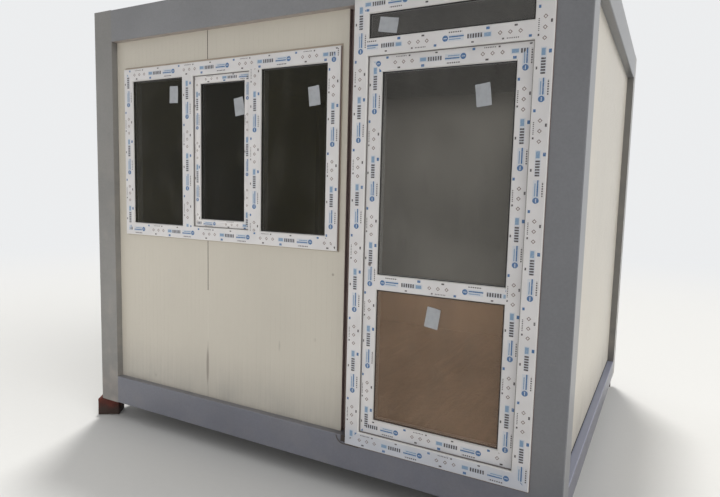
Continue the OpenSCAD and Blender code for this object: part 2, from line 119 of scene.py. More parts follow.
@dataclass(frozen=True)
class Rect:
    """An upright rectangle in the plane of the front wall: X from side to side, Z upwards."""

    x0: float
    x1: float
    z0: float
    z1: float

    @classmethod
    def of(cls, node: str) -> "Rect":
        """Gives the outline of a solid as seen from the front."""
        low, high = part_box(node)
        return cls(low.x, high.x, low.z, high.z)

    @classmethod
    def about(cls, x: float, width: float, z0: float, z1: float) -> "Rect":
        """Gives an upright strip about a line at x."""
        return cls(x - width / 2, x + width / 2, z0, z1)

    def shrunk(self, by: float) -> "Rect":
        """Gives the rectangle drawn in by a distance on all sides."""
        return Rect(self.x0 + by, self.x1 - by, self.z0 + by, self.z1 - by)

    @property
    def width(self) -> float:
        """Size along X."""
        return self.x1 - self.x0

    @property
    def height(self) -> float:
        """Size along Z."""
        return self.z1 - self.z0

    def centre(self, y: float) -> Triple:
        """Gives the middle point, at a depth y."""
        return ((self.x0 + self.x1) / 2, y, (self.z0 + self.z1) / 2)


def face_y(node: str) -> float:
    """Gives the depth of a solid's front face."""
    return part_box(node)[0].y


class Wire:
    """An output socket with arithmetic: each expression on it adds its Math node."""

    def __init__(self, net: "Net", socket: bpy.types.NodeSocket) -> None:
        """Wraps a socket of a net."""
        self.net = net
        self.socket = socket

    def __add__(self, other: "Wire | float") -> "Wire":
        """Sum."""
        return self.net.math("ADD", self, other)

    def __radd__(self, other: float) -> "Wire":
        """Sum with a number first."""
        return self.net.math("ADD", other, self)

    def __sub__(self, other: "Wire | float") -> "Wire":
        """Difference."""
        return self.net.math("SUBTRACT", self, other)

    def __rsub__(self, other: float) -> "Wire":
        """Difference with a number first."""
        return self.net.math("SUBTRACT", other, self)

    def __mul__(self, other: "Wire | float") -> "Wire":
        """Product."""
        return self.net.math("MULTIPLY", self, other)

    def __truediv__(self, other: "Wire | float") -> "Wire":
        """Quotient."""
        return self.net.math("DIVIDE", self, other)

    def __mod__(self, other: float) -> "Wire":
        """Remainder, never negative."""
        return self.net.math("FLOORED_MODULO", self, other)

    def __abs__(self) -> "Wire":
        """Size without sign."""
        return self.net.math("ABSOLUTE", self)

    def __lt__(self, other: "Wire | float") -> "Wire":
        """1 where it is below the other, else 0."""
        return self.net.math("LESS_THAN", self, other)

    def near(self, middle: float, reach: float) -> "Wire":
        """1 within a reach of a middle value, else 0."""
        return self.net.math("COMPARE", self, middle, reach)

    def ramp(self, low: float, high: float) -> "Wire":
        """Rises smoothly from 0 at low to 1 at high.

        Args:
            low: Where the rise starts.
            high: Where it ends; below low for a fall.

        Returns:
            The share.
        """
        ends = (low, high, 0.0, 1.0) if low < high else (high, low, 1.0, 0.0)
        return self.net.wire(
            "ShaderNodeMapRange", {"interpolation_type": "SMOOTHSTEP"},
            dict(enumerate((self, *ends))),
        )


class Net:
    """The nodes of one material, world or other node tree."""

    def __init__(self, tree: bpy.types.NodeTree) -> None:
        """Empties the tree and starts on it."""
        self.tree = tree
        tree.nodes.clear()

    def node(
        self,
        kind: str,
        settings: dict[str, object] | None = None,
        sockets: Sockets | None = None,
    ) -> bpy.types.Node:
        """Adds a node: its settings first, then its sockets.

        Args:
            kind: The node's type.
            settings: Its own properties.
            sockets: A value or a Wire for each input, by number or name.

        Returns:
            The node.
        """
        node = self.tree.nodes.new(kind)
        for key, value in (settings or {}).items():
            setattr(node, key, value)
        for key, value in (sockets or {}).items():
            socket = node.inputs[key]
            if isinstance(value, Wire):
                self.tree.links.new(value.socket, socket)
            elif isinstance(value, Colour) and socket.type == "RGBA":
                socket.default_value = value.rgba()
            else:
                socket.default_value = value
        return node

    def wire(
        self,
        kind: str,
        settings: dict[str, object] | None = None,
        sockets: Sockets | None = None,
        output: int | str = 0,
    ) -> Wire:
        """Adds a node and gives one of its outputs.

        Args:
            kind: The node's type.
            settings: Its own properties.
            sockets: A value or a Wire for each input.
            output: The output's number or name.

        Returns:
            The output.
        """
        return Wire(self, self.node(kind, settings, sockets).outputs[output])

    def math(self, operation: str, *terms: Wire | float) -> Wire:
        """Adds a Math node.

        Args:
            operation: The node's operation.
            terms: Its inputs, in their order.

        Returns:
            The node's result.
        """
        return self.wire("ShaderNodeMath", {"operation": operation}, dict(enumerate(terms)))

    @cached_property
    def place(self) -> Wire:
        """The point on the object, in metres."""
        return self.wire("ShaderNodeTexCoord", output="Object")

    def axes(self, point: Wire) -> tuple[Wire, ...]:
        """Splits a point into its three numbers."""
        split = self.node("ShaderNodeSeparateXYZ", None, {0: point})
        return tuple(Wire(self, output) for output in split.outputs)

    def noise(
        self, scale: float, detail: float = 2.0, stretch: Triple = EVEN, point: Wire | None = None
    ) -> Wire:
        """Adds noise from 0 to 1.

        Args:
            scale: Lumps per metre.
            detail: Octaves of finer lumps.
            stretch: Scale along each axis; a small number draws the lumps out.
            point: Where it is read, if not at the place on the object.

        Returns:
            The noise.
        """
        point = point or self.place
        if stretch != EVEN:
            point = self.wire("ShaderNodeMapping", None, {"Vector": point, "Scale": stretch})
        return self.wire(
            "ShaderNodeTexNoise", None, {"Vector": point, "Scale": scale, "Detail": detail}
        )

    def cells(self, scale: float, output: str) -> Wire:
        """Adds a pattern of cells.

        Args:
            scale: Cells per metre.
            output: The node's output that is wanted.

        Returns:
            That output.
        """
        return self.wire(
            "ShaderNodeTexVoronoi", None, {"Vector": self.place, "Scale": scale}, output=output
        )

    def mix(self, share: Wire, low: Colour | Wire, high: Colour | Wire) -> Wire:
        """Mixes two colours.

        Args:
            share: 0 for the first, 1 for the second.
            low: The first colour.
            high: The second colour.

        Returns:
            The mixed colour.
        """
        return self.wire(
            "ShaderNodeMix", {"data_type": "RGBA"}, {0: share, 6: low, 7: high}, output=2
        )

    def scaled(self, colour: Colour | Wire, share: Wire) -> Wire:
        """Makes a colour lighter or darker by a share that varies.

        Args:
            colour: The colour.
            share: Over 1 for lighter, under 1 for darker.

        Returns:
            The colour, made lighter or darker.
        """
        return self.wire(
            "ShaderNodeVectorMath", {"operation": "SCALE"}, {0: colour, "Scale": share}
        )

    def bump(self, height: Wire, distance: float, under: Wire | None = None) -> Wire:
        """Tilts the surface by a height.

        Args:
            height: From 0 to 1.
            distance: The depth of that height, in metres.
            under: A bump that this one lies on.

        Returns:
            The normal.
        """
        sockets: Sockets = {"Height": height, "Distance": distance}
        if under is not None:
            sockets["Normal"] = under
        return self.wire("ShaderNodeBump", None, sockets)


@dataclass(frozen=True)
class Finish:
    """A finish: a main colour and a gloss, varied by the nodes that each kind adds."""

    slot: ClassVar[Slot]

    name: str
    colour: Colour
    roughness: float
    specular: float = 0.5

    def material(self) -> bpy.types.Material:
        """Gives the finish's material, and builds it the first time.

        Returns:
            The material.
        """
        made = bpy.data.materials.get(self.name)
        if made is None:
            made = bpy.data.materials.new(self.name)
            made.use_nodes = True
            net = Net(made.node_tree)
            sockets: Sockets = {
                "Base Color": self.colour,
                "Roughness": self.roughness,
                "Specular IOR Level": self.specular,
            }
            sockets.update(self.vary(net))
            shader = net.wire("ShaderNodeBsdfPrincipled", None, sockets)
            net.node("ShaderNodeOutputMaterial", None, {"Surface": shader})
            made.diffuse_color = self.colour.rgba()
        return made

    def vary(self, net: Net) -> Sockets:
        """Gives the shader's sockets that differ over the surface or from the common ones.

        Args:
            net: The material's nodes.

        Returns:
            The shader's sockets that differ.
        """
        raise NotImplementedError


@dataclass(frozen=True)
class SatinPaint(Finish):
    """Sprayed grey paint on folded steel, dusty near the ground and darker there as painted shade.

    A beam's ledge or underside, from the first of two heights to the second, takes a lighter colour
    that is painted light from the sky or the ground.
    """

    slot: ClassVar[Slot] = Slot.STEEL

    foot: Colour = Colour(0.140, 0.145, 0.160)
    foot_top: float = 0.44
    dust: Colour = Colour(0.30, 0.27, 0.235)
    dust_top: float = 0.75
    share: float = 0.22
    ledge: tuple[float, float] = NOWHERE
    painted_ledge_light: Colour = Colour(0.20, 0.20, 0.21)

    def vary(self, net: Net) -> Sockets:
        """Adds soft clouds from spraying, dust and painted shade at the foot, faint scuffs, orange
        peel and the painted light on a ledge.

        Args:
            net: The material's nodes.

        Returns:
            The shader's sockets that differ.
        """
        clouds = net.noise(1.6, 4.0)
        grain = net.noise(90.0, 3.0)
        _, _, z = net.axes(net.place)
        # Below foot_top the paint turns to the foot colour: painted shade near the ground.
        base = net.mix(z.ramp(self.foot_top, self.foot_top * 0.5), self.colour, self.foot)
        shade = (clouds * 0.7 + grain * 0.3).ramp(0.32, 0.68) * 0.18 + 0.91
        tone = net.scaled(base, shade)
        patches = net.noise(7.0, 6.0).ramp(0.42, 0.72)
        dusty = z.ramp(self.dust_top, 0.1) * patches * self.share
        scuffs = net.noise(14.0, 6.0, (0.25, 0.25, 2.5)).ramp(0.66, 0.74) * 0.1
        colour = net.mix(scuffs, net.mix(dusty, tone, self.dust), self.dust)
        return {
            # A ledge or underside beyond the ledge heights takes a lighter colour: painted light
            # from the sky or the ground.
            "Base Color": net.mix(z.ramp(*self.ledge), colour, self.painted_ledge_light),
            "Roughness": self.roughness + dusty * 0.5 + (clouds - 0.5) * 0.12,
            "Normal": net.bump(net.noise(160.0, 2.0), 0.00025),
        }


class Smear(NamedTuple):
    """A dirty spot on a wall: its middle, half its size and how strong it is."""

    x: float
    z: float
    half_width: float
    half_height: float
    strength: float


@dataclass(frozen=True)
class CoatedSkin(Finish):
    """Cream coating on a thin steel skin."""

    slot: ClassVar[Slot] = Slot.PANEL

    soil_and_shade: Colour = Colour(0.265, 0.255, 0.240)
    soil_and_shade_top: float = 0.66
    grime: Colour = Colour(0.15, 0.125, 0.105)
    smears: tuple[Smear, ...] = ()

    def dirt(self, smear: Smear, x: Wire, z: Wire) -> Wire:
        """Gives the share of dirt in a smear, with a soft edge.

        Args:
            smear: The smear.
            x: Place along the wall.
            z: Height.

        Returns:
            From 0 to the smear's strength.
        """
        aside = (x - smear.x) / smear.half_width
        above = (z - smear.z) / smear.half_height
        return (aside * aside + above * above).ramp(1.0, 0.0) * smear.strength

    def vary(self, net: Net) -> Sockets:
        """Adds slow waves of the skin, a soft tone, runs, and soil low down that is partly real
        soil and partly painted shade near the ground.

        Args:
            net: The material's nodes.

        Returns:
            The shader's sockets that differ.
        """
        x, _, z = net.axes(net.place)
        waves = net.noise(1.1, 2.0, (1.0, 1.0, 0.6))
        fine = net.noise(420.0, 2.0)
        patches = net.noise(5.0, 6.0).ramp(0.45, 0.8)
        runs = net.noise(60.0, 2.0, (1.0, 1.0, 0.045)).ramp(0.35, 0.75)
        tone = net.mix(
            (waves * 0.75 + fine * 0.25).ramp(0.3, 0.7),
            self.colour.times(0.955), self.colour.times(1.045),
        )
        # Low down the skin darkens towards the soil colour: partly real soil, partly painted shade
        # near the ground.
        low = z.ramp(self.soil_and_shade_top, 0.25)
        soiled_and_shaded = low * (patches * 0.22 + 0.40) + patches * 0.03
        soiled_and_shaded = soiled_and_shaded + runs * (low * 0.14 + 0.02)
        skin = net.mix(soiled_and_shaded, tone, self.soil_and_shade)
        if self.smears:
            dirty = sum(self.dirt(smear, x, z) for smear in self.smears)
            skin = net.mix(dirty, skin, self.grime)
        return {
            "Base Color": skin,
            "Roughness": self.roughness + (waves - 0.5) * 0.1 + soiled_and_shaded * 0.3,
            "Normal": net.bump(fine, 0.00004, net.bump(waves, 0.006)),
        }


@dataclass(frozen=True)
class MouldedPvc(Finish):
    """White window profile, bare along its edges."""

    slot: ClassVar[Slot] = Slot.PVC

    def vary(self, net: Net) -> Sockets:
        """Adds fine dust and the faint lines of extrusion.

        Args:
            net: The material's nodes.

        Returns:
            The shader's sockets that differ.
        """
        dust = net.noise(9.0, 5.0).ramp(0.45, 0.75)
        lines = net.noise(130.0, 2.0, (1.0, 1.0, 0.02))
        return {
            "Base Color": net.mix(dust * 0.35, self.colour, self.colour.times(0.82)),
            "Roughness": self.roughness + dust * 0.12,
            "Normal": net.bump(lines, 0.00006),
        }


class Mark(NamedTuple):
    """A printed bar: its middle and half its size, along the profile and across it."""

    along: float
    across: float
    half_length: float
    half_width: float


class Row(NamedTuple):
    """A row of equal printed blocks: the bar that it fills, its pitch and the inked share."""

    bar: Mark
    pitch: float
    inked: float


@dataclass(frozen=True)
class PrintedFilm(Finish):
    """Thin protective film with plain printed shapes that repeat along the profile."""

    slot: ClassVar[Slot] = Slot.PVC

    period: float = 0.430
    disc_at: float = 0.020
    disc_radius: float = 0.0135
    blue: Colour = Colour(0.055, 0.135, 0.290)
    pale: Colour = Colour(0.190, 0.290, 0.420)
    wash: Colour = Colour(0.430, 0.485, 0.560)
    dark: Colour = Colour(0.070, 0.060, 0.062)
    brown: Colour = Colour(0.190, 0.140, 0.125)
    blue_marks: tuple[Mark, ...] = (
        Mark(0.073, 0.0052, 0.035, 0.0032), Mark(0.217, 0.0262, 0.0080, 0.0060),
        Mark(0.402, -0.0255, 0.0065, 0.0052),
    )
    pale_marks: tuple[Mark, ...] = (
        Mark(0.066, -0.0058, 0.028, 0.0026), Mark(0.2160, -0.0010, 0.0150, 0.0084),
    )
    wash_marks: tuple[Mark, ...] = (
        Mark(0.180, 0.0, 0.0560, 0.0125), Mark(0.0600, 0.0, 0.0480, 0.0150),
    )
    dark_marks: tuple[Mark, ...] = (
        Mark(0.340, 0.0255, 0.0070, 0.0040), Mark(0.150, -0.0270, 0.0060, 0.0034),
        Mark(0.286, -0.0262, 0.0045, 0.0036),
    )
    rows: tuple[Row, ...] = (
        Row(Mark(0.160, 0.0, 0.0360, 0.0095), 0.0120, 0.66),
        Row(Mark(0.068, 0.0255, 0.0320, 0.0030), 0.0105, 0.66),
        Row(Mark(0.330, -0.0265, 0.0280, 0.0026), 0.0080, 0.55),
    )
    # Below the lower height the film turns darker and bluer: painted shade near the ground.
    shaded_foot: Colour = Colour(0.500, 0.515, 0.560)
    shaded_foot_top: float = 0.42
    lozenges_from: float = 0.250
    lozenges_to: float = 0.382
    lozenge_half: float = 0.0100

    def bars(self, run: Wire, across: Wire, marks: tuple[Mark, ...]) -> Wire:
        """Adds up the masks of some bars.

        Args:
            run: Distance along the repeat.
            across: Distance from the profile's middle line.
            marks: The bars.

        Returns:
            1 on a bar, else 0.
        """
        return sum(
            run.near(bar.along, bar.half_length) * across.near(bar.across, bar.half_width)
            for bar in marks
        )

    def lozenges(self, run: Wire, across: Wire) -> Wire:
        """Gives the mask of three open lozenges in a row.

        Args:
            run: Distance along the repeat.
            across: Distance from the profile's middle line.

        Returns:
            1 on a lozenge's line, else 0.
        """
        pitch = (self.lozenges_to - self.lozenges_from) / 3
        local = abs((run - self.lozenges_from) % pitch - pitch / 2)
        ring = (local + abs(across)).near(self.lozenge_half * 0.78, self.lozenge_half * 0.24)
        middle = (self.lozenges_from + self.lozenges_to) / 2
        return ring * run.near(middle, (self.lozenges_to - self.lozenges_from) / 2)

    def vary(self, net: Net) -> Sockets:
        """Adds the inks, worn here and there, the wrinkles of the loose film, and a darker, bluer
        painted shade near the ground.

        Args:
            net: The material's nodes.

        Returns:
            The shader's sockets that differ.
        """
        sheet = net.wire("ShaderNodeUVMap", {"uv_map": FILM_MAP})
        along, across, _ = net.axes(sheet)
        run = along % self.period
        worn = net.noise(120.0, 3.0).ramp(0.25, 0.5) * 0.3 + 0.7
        aside = run - self.disc_at
        disc = (aside * aside + across * across) < self.disc_radius**2
        slit = across.near(0.0, 0.0018) * run.near(self.disc_at, self.disc_radius * 0.6)
        blue = disc * (1.0 - slit) + self.bars(run, across, self.blue_marks)
        dark = self.bars(run, across, self.dark_marks)
        for row in self.rows:
            start = row.bar.along - row.bar.half_length
            inked = ((run - start) % row.pitch) < row.pitch * row.inked
            dark = dark + self.bars(run, across, (row.bar,)) * inked
        clouds = net.noise(6.0, 3.0).ramp(0.3, 0.7)
        _, _, z = net.axes(net.place)
        # Near the ground the film's colour turns darker and bluer: painted shade.
        shaded_sheet = net.mix(z.ramp(self.shaded_foot_top, 0.3), self.colour, self.shaded_foot)
        colour = net.scaled(shaded_sheet, clouds * 0.09 + 0.95)
        inks = (
            (self.bars(run, across, self.wash_marks) * 0.5, self.wash),
            (self.bars(run, across, self.pale_marks), self.pale),
            (blue, self.blue),
            (self.lozenges(run, across), self.brown),
            (dark, self.dark),
        )
        for mask, ink in inks:
            colour = net.mix(mask * worn, colour, ink)
        creases = net.noise(38.0, 3.0, (0.35, 1.0, 1.0), sheet)
        return {
            "Base Color": colour,
            "Roughness": self.roughness + clouds * 0.1,
            "Normal": net.bump(creases, 0.0006),
        }


@dataclass(frozen=True)
class TintedGlass(Finish):
    """Sealed glass that looks dark from outside, with a thin haze of dust. On the door's panes the
    lighter colour, dimmed above its fade heights, is painted reflection.
    """

    slot: ClassVar[Slot] = Slot.GLASS

    alpha: float = 0.75
    haze: Colour = Colour(0.12, 0.115, 0.105)
    haze_share: float = 0.2
    fade: tuple[float, float] = NOWHERE
    reflection_dim: float = 0.35

    def vary(self, net: Net) -> Sockets:
        """Adds slow shades of the tint, wiped dust, a slight wave of the pane and the dimming of a
        painted reflection above the fade heights.

        Args:
            net: The material's nodes.

        Returns:
            The shader's sockets that differ.
        """
        shades = net.noise(2.2, 3.0).ramp(0.3, 0.7)
        wiped = net.noise(11.0, 5.0, (1.0, 1.0, 0.35)).ramp(0.45, 0.8)
        _, _, z = net.axes(net.place)
        # Above the fade heights the colour dims: painted reflection.
        light = (shades * 0.4 + 0.8) * (1.0 - z.ramp(*self.fade) * (1.0 - self.reflection_dim))
        tone = net.scaled(self.colour, light)
        return {
            "Base Color": net.mix(wiped * self.haze_share * light, tone, self.haze),
            "Roughness": self.roughness + wiped * 0.06,
            "Alpha": self.alpha + wiped * 0.06,
            "Normal": net.bump(net.noise(3.0, 1.0), 0.0006),
        }


@dataclass(frozen=True)
class SoftRubber(Finish):
    """Dark seal or trim with dust in its pores."""

    slot: ClassVar[Slot] = Slot.DARK_TRIM

    dust: Colour = Colour(0.14, 0.12, 0.10)

    def vary(self, net: Net) -> Sockets:
        """Adds dust and a fine grain.

        Args:
            net: The material's nodes.

        Returns:
            The shader's sockets that differ.
        """
        dust = net.noise(24.0, 5.0).ramp(0.5, 0.8)
        grain = net.noise(700.0, 2.0)
        return {
            "Base Color": net.mix(dust * 0.3, self.colour, self.dust),
            "Roughness": self.roughness + dust * 0.2,
            "Normal": net.bump(grain, 0.0001),
        }


@dataclass(frozen=True)
class Galvanised(Finish):
    """Zinc coated sheet with spangles."""

    slot: ClassVar[Slot] = Slot.ZINC

    metallic: float = 0.8
    bloom: Colour = Colour(0.62, 0.63, 0.64)

    def vary(self, net: Net) -> Sockets:
        """Adds spangles, white bloom and rolled grain.

        Args:
            net: The material's nodes.

        Returns:
            The shader's sockets that differ.
        """
        spangle, _, _ = net.axes(net.cells(90.0, "Color"))
        bloom = net.noise(6.0, 6.0).ramp(0.5, 0.8)
        tone = net.mix(spangle, self.colour.times(0.88), self.colour.times(1.1))
        return {
            "Base Color": net.mix(bloom * 0.4, tone, self.bloom),
            "Metallic": self.metallic - bloom * 0.35,
            "Roughness": self.roughness + spangle * 0.12 + bloom * 0.25,
            "Normal": net.bump(net.noise(45.0, 3.0), 0.0002),
        }


@dataclass(frozen=True)
class PlainBoard(Finish):
    """Pressed board with long grain and trodden dirt."""

    slot: ClassVar[Slot] = Slot.BOARD

    dark: Colour = Colour(0.17, 0.12, 0.08)
    grain_scale: float = 26.0

    def vary(self, net: Net) -> Sockets:
        """Adds the grain along the board, chips and dirt.

        Args:
            net: The material's nodes.

        Returns:
            The shader's sockets that differ.
        """
        grain = net.noise(self.grain_scale, 6.0, (1.0, 0.08, 1.0))
        chips, _, _ = net.axes(net.cells(70.0, "Color"))
        dirt = net.noise(3.0, 5.0).ramp(0.45, 0.75)
        tone = net.mix((grain * 0.75 + chips * 0.25).ramp(0.3, 0.7), self.dark, self.colour)
        return {
            "Base Color": net.mix(dirt * 0.35, tone, self.dark),
            "Roughness": self.roughness + dirt * 0.15,
            "Normal": net.bump(grain, 0.0006),
        }


@dataclass(frozen=True)
class FiredClay(Finish):
    """Old clay block: red on top, greyed by damp and mortar below."""

    slot: ClassVar[Slot] = Slot.BRICK

    greyed: Colour = Colour(0.047, 0.033, 0.029)
    turn_z: float = 0.06
    burnt_share: float = 0.6

    def vary(self, net: Net) -> Sockets:
        """Adds burnt patches, the grey foot, pores and a coarse skin.

        Args:
            net: The material's nodes.

        Returns:
            The shader's sockets that differ.
        """
        _, _, z = net.axes(net.place)
        burnt = net.noise(22.0, 5.0).ramp(0.4, 0.7)
        ragged = z + (net.noise(18.0, 5.0) - 0.5) * 0.09
        grit = net.noise(150.0, 4.0)
        pores = net.cells(120.0, "Distance").ramp(0.12, 0.4)
        clay = net.mix(burnt * self.burnt_share, self.colour, self.greyed.times(0.7))
        stain = net.mix(grit, self.greyed.times(0.85), self.greyed.times(1.2))
        return {
            "Base Color": net.mix(ragged.ramp(self.turn_z + 0.02, self.turn_z - 0.02), clay, stain),
            "Roughness": self.roughness + grit * 0.1,
            "Normal": net.bump(grit, 0.0016, net.bump(pores, 0.0014)),
        }


@dataclass(frozen=True)
class LabelPaper(Finish):
    """Blank paper label, a little yellowed and wavy from glue."""

    slot: ClassVar[Slot] = Slot.PVC

    def vary(self, net: Net) -> Sockets:
        """Adds fibres, glue shadows and waves.

        Args:
            net: The material's nodes.

        Returns:
            The shader's sockets that differ.
        """
        glue = net.noise(40.0, 3.0).ramp(0.4, 0.7)
        fibres = net.noise(900.0, 2.0, (1.0, 1.0, 0.2))
        return {
            "Base Color": net.mix(
                glue * 0.6 + fibres * 0.2, self.colour.times(1.04), self.colour.times(0.88)
            ),
            "Normal": net.bump(net.noise(55.0, 2.0), 0.0008),
        }


# The frame's paint on three posts: lighter and warmer than the front right post's copy, as painted
# reflected light.
POST_PAINT = SatinPaint(
    "post_paint", Colour(0.200, 0.195, 0.186), 0.30,
    foot=Colour(0.182, 0.170, 0.163), dust=Colour(0.34, 0.31, 0.27), dust_top=2.6, share=0.52,
)
# The same paint on the front right post, set darker and cooler as painted shade.
SHADED_POST_PAINT = SatinPaint("shaded_post_paint", Colour(0.158, 0.161, 0.172), 0.30, share=0.1)
# The same paint on the front and back roof beams, a little darker and cooler than the posts' copy
# as painted shade at the top; its underside takes warm painted light from the ground.
SHADED_ROOF_PAINT = SatinPaint(
    "shaded_roof_beam_paint", Colour(0.188, 0.189, 0.197), 0.30,
    ledge=(2.5235, 2.5225), painted_ledge_light=Colour(0.30, 0.255, 0.235),
)
# The side roof beams' copy of that paint, set darker still as painted shade.
SHADED_SIDE_ROOF_PAINT = SatinPaint("shaded_side_roof_beam_paint", Colour(0.150, 0.152, 0.160), 0.30)
# The floor frame's own darker, bluer paint; its ledge takes a paler colour as painted light from
# above.
SILL_PAINT = SatinPaint(
    "floor_beam_paint", Colour(0.142, 0.146, 0.174), 0.32,
    foot=Colour(0.142, 0.146, 0.174), share=0.12,
    ledge=(0.3035, 0.3050), painted_ledge_light=Colour(0.185, 0.185, 0.200),
)
# The floor frame's paint on the side beams, set darker as painted shade; its ledge takes a blue
# colour as painted light from the sky.
SHADED_SIDE_SILL_PAINT = SatinPaint(
    "shaded_side_floor_beam_paint", Colour(0.096, 0.098, 0.130), 0.32,
    foot=Colour(0.096, 0.098, 0.130), share=0.12,
    ledge=(0.2465, 0.2485), painted_ledge_light=Colour(0.245, 0.26, 0.34),
)
# A little lighter than the front skin: painted light that makes up for the grooves' shade on walls
# seen at a slant.
PANEL_SKIN = CoatedSkin("panel_skin", Colour(0.515, 0.480, 0.416), 0.34)
FRONT_SMEARS = (
    Smear(-0.5925, 0.500, 0.0145, 0.140, 0.62), Smear(-0.5875, 0.330, 0.0040, 0.080, 0.30),
    Smear(-0.5880, 0.600, 0.0080, 0.090, 0.25), Smear(0.303, 1.159, 0.010, 0.010, 0.55),
    Smear(-0.045, 0.714, 0.008, 0.040, 0.25), Smear(0.196, 0.786, 0.012, 0.014, 0.15),
    Smear(-1.050, 0.361, 0.014, 0.016, 0.20),
)
FRONT_SKIN = CoatedSkin(
    "front_panel_skin", Colour(0.500, 0.466, 0.402), 0.34, smears=FRONT_SMEARS
)
JOINT_FILLER = CoatedSkin(
    "joint_filler_paint", Colour(0.535, 0.500, 0.435), 0.34, smears=FRONT_SMEARS
)
WHITE_PVC = MouldedPvc("white_pvc", Colour(0.66, 0.65, 0.635), 0.32, 0.45)
WIDE_FILM = PrintedFilm("wide_film", Colour(0.615, 0.600, 0.600), 0.3, 0.45)
NARROW_FILM = PrintedFilm(
    "narrow_film", Colour(0.665, 0.645, 0.640), 0.3, 0.45,
    shaded_foot=Colour(0.56, 0.575, 0.62), shaded_foot_top=0.50, disc_radius=0.0100,
    blue_marks=(Mark(0.073, 0.0042, 0.035, 0.0026), Mark(0.217, 0.0150, 0.0080, 0.0040)),
    pale_marks=(Mark(0.066, -0.0048, 0.028, 0.0022), Mark(0.2160, -0.0010, 0.0150, 0.0066)),
    wash_marks=(Mark(0.180, 0.0, 0.0560, 0.0100), Mark(0.0600, 0.0, 0.0480, 0.0110)),
    dark_marks=(Mark(0.340, 0.0150, 0.0070, 0.0032), Mark(0.150, -0.0155, 0.0060, 0.0026)),
    rows=(
        Row(Mark(0.160, 0.0, 0.0360, 0.0072), 0.0120, 0.62),
        Row(Mark(0.068, 0.0150, 0.0320, 0.0022), 0.0105, 0.66),
        Row(Mark(0.330, -0.0155, 0.0280, 0.0020), 0.0080, 0.5),
    ),
    lozenge_half=0.0076,
)
WINDOW_GLASS = TintedGlass("window_glass", Colour(0.017, 0.015, 0.006), 0.03, 0.2, alpha=0.5)
SASH_GLASS = TintedGlass(
    "sash_pane", Colour(0.010, 0.009, 0.004), 0.03, 0.2, alpha=0.6, haze_share=0.14
)
TRANSOM_GLASS = TintedGlass("transom_pane", Colour(0.110, 0.106, 0.100), 0.03, 0.3, alpha=0.42)
# The upper door pane's grey, dimmed at its top, is painted reflection of the surroundings.
UPPER_GLASS = TintedGlass(
    "upper_pane", Colour(0.215, 0.205, 0.184), 0.03, 0.3, alpha=0.38, fade=(1.92, 2.10)
)
# The lower door pane's brown is painted reflection of the ground.
LOWER_GLASS = TintedGlass("lower_pane", Colour(0.310, 0.205, 0.135), 0.03, 0.3, alpha=0.42)
DARK_TRIM = SoftRubber("dark_channel", Colour(0.175, 0.130, 0.122), 0.5, 0.4)
GASKET_RUBBER = SoftRubber("gasket_rubber", Colour(0.016, 0.014, 0.015), 0.55, 0.35)
STOP_RUBBER = SoftRubber("stop_rubber", Colour(0.160, 0.146, 0.142), 0.55, 0.35)
FLAP_RUBBER = SoftRubber("flap_rubber", Colour(0.040, 0.032, 0.028), 0.6, 0.3)
FOAM_TAPE = SoftRubber("foam_tape", Colour(0.030, 0.030, 0.036), 0.7, 0.3)
SEAM_FILL = SoftRubber("seam_fill", Colour(0.100, 0.088, 0.075), 0.7, 0.3)
SEALANT = SoftRubber("window_sealant", Colour(0.36, 0.30, 0.24), 0.45, 0.4)
LIP_SEAL = SoftRubber("lip_seal", Colour(0.085, 0.072, 0.062), 0.5, 0.4)
SPACER_BLACK = SoftRubber("spacer_black", Colour(0.03, 0.03, 0.03), 0.4, 0.4)
ZINC_SHEET = Galvanised("zinc_sheet", Colour(0.45, 0.47, 0.50), 0.4)
BRIGHT_ZINC = Galvanised("bright_zinc", Colour(0.62, 0.63, 0.64), 0.3, metallic=0.6)
FLOOR_BOARD = PlainBoard("floor_boarding", Colour(0.32, 0.235, 0.155), 0.6, 0.3)
CEILING_BOARD = PlainBoard(
    "ceiling_boarding", Colour(0.72, 0.72, 0.70), 0.6, 0.3, dark=Colour(0.60, 0.60, 0.58)
)
BLOCK_CLAY = FiredClay("block_clay", Colour(0.105, 0.034, 0.027), 0.85, 0.2)
PAPER = LabelPaper("label_paper", Colour(0.355, 0.368, 0.388), 0.7, 0.2)


